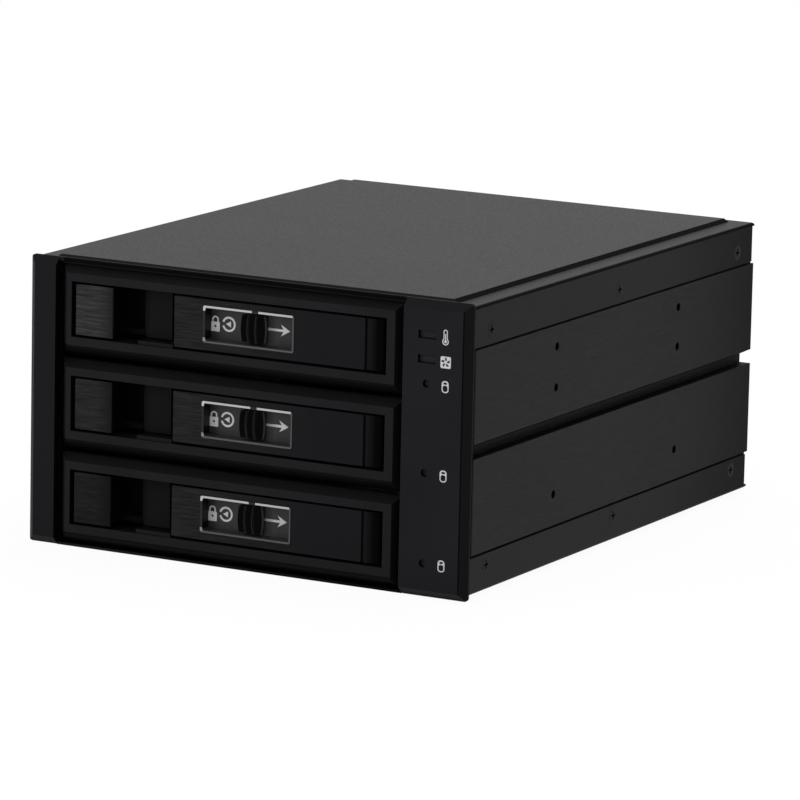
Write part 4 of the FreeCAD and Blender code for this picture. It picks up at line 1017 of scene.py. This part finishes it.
contact_pitch = 1.27
contact_width = 0.7
contact_thickness = 0.08
contact_edge = 0.02
blade_side = 0.6               # from the middle of a port to the face of its blade
blade_start, blade_end = board_back + 4.0, board_back + 12.0
data_start, power_start = socket_x0 + 3.6, socket_x0 + 16.75
strip_start, strip_end = socket_back - 5.9, socket_back - 1.5
strip_drop = 8.25              # from the middle of a tray front down to its socket's strips
chip_left, chip_right, chip_thickness = 22.0, 27.0, 1.1
chip_below, chip_above, chip_edge = 3.0, 4.0, 0.15

print("board's back at", round(board_back, 2), "sockets end at", round(socket_back, 2))

# %% [markdown]
# ## Socket and data contacts
# Every contact is the same strip at its own place, so a list of starts or middles is all that
# differs. One chip stands beside each data plug.

# %% Socket contacts, data contacts and chips
for n in tray_numbers:
    slot_floor = tray_middle[n] - strip_drop
    starts = [data_start + k * contact_pitch for k in range(7)]
    starts += [power_start + k * contact_pitch for k in range(15)]
    blocks("socket_contacts_%d" % n,
           [(x, x + contact_width, strip_start, strip_end, slot_floor,
             slot_floor + contact_thickness) for x in starts],
           gold_contact, contact_edge)
    blade_face = port_middle + blade_side
    middles = [tray_middle[n] + k * contact_pitch for k in range(-3, 4)]
    blocks("data_contacts_%d" % n,
           [(blade_face, blade_face + contact_thickness, blade_start, blade_end,
             z - contact_width / 2, z + contact_width / 2) for z in middles],
           gold_contact, contact_edge)
    blocks("chip_%d" % n,
           [(chip_left, chip_right, board_back, board_back + chip_thickness,
             tray_middle[n] - chip_below, tray_middle[n] + chip_above)],
           chip_black, chip_edge)

print("each socket has", len(starts), "contacts and each data plug", len(middles))

# %% [markdown]
# ## Power contacts and capacitors
# A power plug has four broad contacts 5 mm apart. The capacitors stand in a column beside the
# plugs, where the supply comes in. Each can is a profile spun round its axis, as it is drawn and
# pressed in the works; a plain cylinder would lack the pinch above its foot.

# %% Power contacts and capacitors
power_face = power_middle + blade_side
power_pitch, power_half = 5.0, 1.3
plug_z = (24.0, 61.0)
for n, z in enumerate(plug_z, start=1):
    middles = [z + k * power_pitch for k in (-1.5, -0.5, 0.5, 1.5)]
    blocks("power_contacts_%d" % n,
           [(power_face, power_face + contact_thickness, blade_start, blade_end,
             middle - power_half, middle + power_half) for middle in middles],
           gold_contact, contact_edge)

capacitor_x, capacitor_radius, capacitor_height = 39.2, 2.2, 5.2
capacitor_z = (10.0, 28.4, 42.5, 56.2, 76.0)
for n, z in enumerate(capacitor_z, start=1):
    capacitor("capacitor_%d" % n, capacitor_x, board_back, z, capacitor_radius,
              capacitor_height)
print(len(plug_z), "power plugs dressed and", len(capacitor_z), "capacitors made")

# %% [markdown]
# ## Floor and backdrop
# The floor is a large pale sheet. Seen directly or in a reflection it glows white through the
# Light Path node, so the page stays white without pouring more light on the cage; a share of
# its ordinary surface is kept, and that share carries the cage's soft shadow. The glow is a
# little stronger than 1 to make up for the share that it gives away. The world does the same:
# white to the eye, a plain grey as a source of light.

# %% Floor finish
def seen_directly(tree):
    """1 for rays from the eye, from a reflection or through glass; 0 for light itself."""
    path = add(tree, "LightPath")
    seen = path.outputs["Is Camera Ray"]
    for way in ("Is Glossy Ray", "Is Transmission Ray"):
        seen = calculate(tree, "MAXIMUM", seen, path.outputs[way])
    return seen


floor_white = bpy.data.materials.new("floor_white")
floor_white.use_nodes = True
tree = floor_white.node_tree
tree.nodes.clear()
floor_output = add(tree, "OutputMaterial")
surface = add(tree, "BsdfDiffuse", Color=(0.65, 0.65, 0.65, 1))
glow_strength, glow_share = 1.035, 0.92
glow = add(tree, "Emission", Color=(1, 1, 1, 1), Strength=glow_strength)
blend = add(tree, "MixShader")
share = calculate(tree, "MULTIPLY", seen_directly(tree), glow_share)
tree.links.new(share, blend.inputs["Fac"])
tree.links.new(surface.outputs["BSDF"], blend.inputs[1])
tree.links.new(glow.outputs["Emission"], blend.inputs[2])
tree.links.new(blend.outputs["Shader"], floor_output.inputs["Surface"])
print("floor finish made")

# %% [markdown]
# ## The floor
# A curved backdrop would do too, but with the world white to the eye one large flat sheet is
# enough.

# %% Floor
floor_half = 6.0
floor_mesh = bpy.data.meshes.new("studio_floor")
floor_corners = [(-floor_half, -floor_half, 0), (floor_half, -floor_half, 0),
                 (floor_half, floor_half, 0), (-floor_half, floor_half, 0)]
floor_mesh.from_pydata(floor_corners, [], [(0, 1, 2, 3)])
floor = bpy.data.objects.new("studio_floor", floor_mesh)
floor.data.materials.append(floor_white)
scene.collection.objects.link(floor)
print("floor laid,", 2 * floor_half, "m across")

# %% [markdown]
# ## The world
# The world has two backgrounds, one for light and one for the eye, chosen by the same mask. One
# white world would be simpler, but it would wash the satin black out.

# %% World
world = bpy.data.worlds.new("studio_world")
world.use_nodes = True
scene.world = world
tree = world.node_tree
tree.nodes.clear()
world_output = add(tree, "OutputWorld")
as_light = add(tree, "Background", Color=(0.55, 0.55, 0.56, 1))
as_page = add(tree, "Background", Color=(1, 1, 1, 1))
world_mix = add(tree, "MixShader")
tree.links.new(seen_directly(tree), world_mix.inputs["Fac"])
tree.links.new(as_light.outputs["Background"], world_mix.inputs[1])
tree.links.new(as_page.outputs["Background"], world_mix.inputs[2])
tree.links.new(world_mix.outputs["Shader"], world_output.inputs["Surface"])
print("world made")

# %% [markdown]
# ## Lamps
# Large soft panels give long even sheens on satin black. One hangs above and behind, so that
# the top reads lighter than the sides; one stands in front on the left. The right side gets no
# lamp of its own, so that its slopes and recesses stay dark.

# %% Soft panels
def soft_panel(name, spot, aim, size, watts):
    """A square lamp at spot that faces aim; both in metres."""
    data = bpy.data.lights.new(name, "AREA")
    data.shape = "SQUARE"
    data.size = size
    data.energy = watts
    lamp = bpy.data.objects.new(name, data)
    lamp.location = spot
    lamp.rotation_euler = (Vector(aim) - Vector(spot)).to_track_quat("-Z", "Y").to_euler()
    scene.collection.objects.link(lamp)


soft_panel("lamp_above", (0.1, 0.5, 1.7), (0, 0, 0.05), 1.2, 14)
soft_panel("lamp_left", (-1.3, -1.6, 0.9), (0, 0, 0.05), 1.0, 8)
print("lamps hung")

# %% [markdown]
# ## Sizes
# The dressed model has to keep the size of the solid one; only the ink of the signs stands proud
# of it.

# %% The end
print("scene dressed")
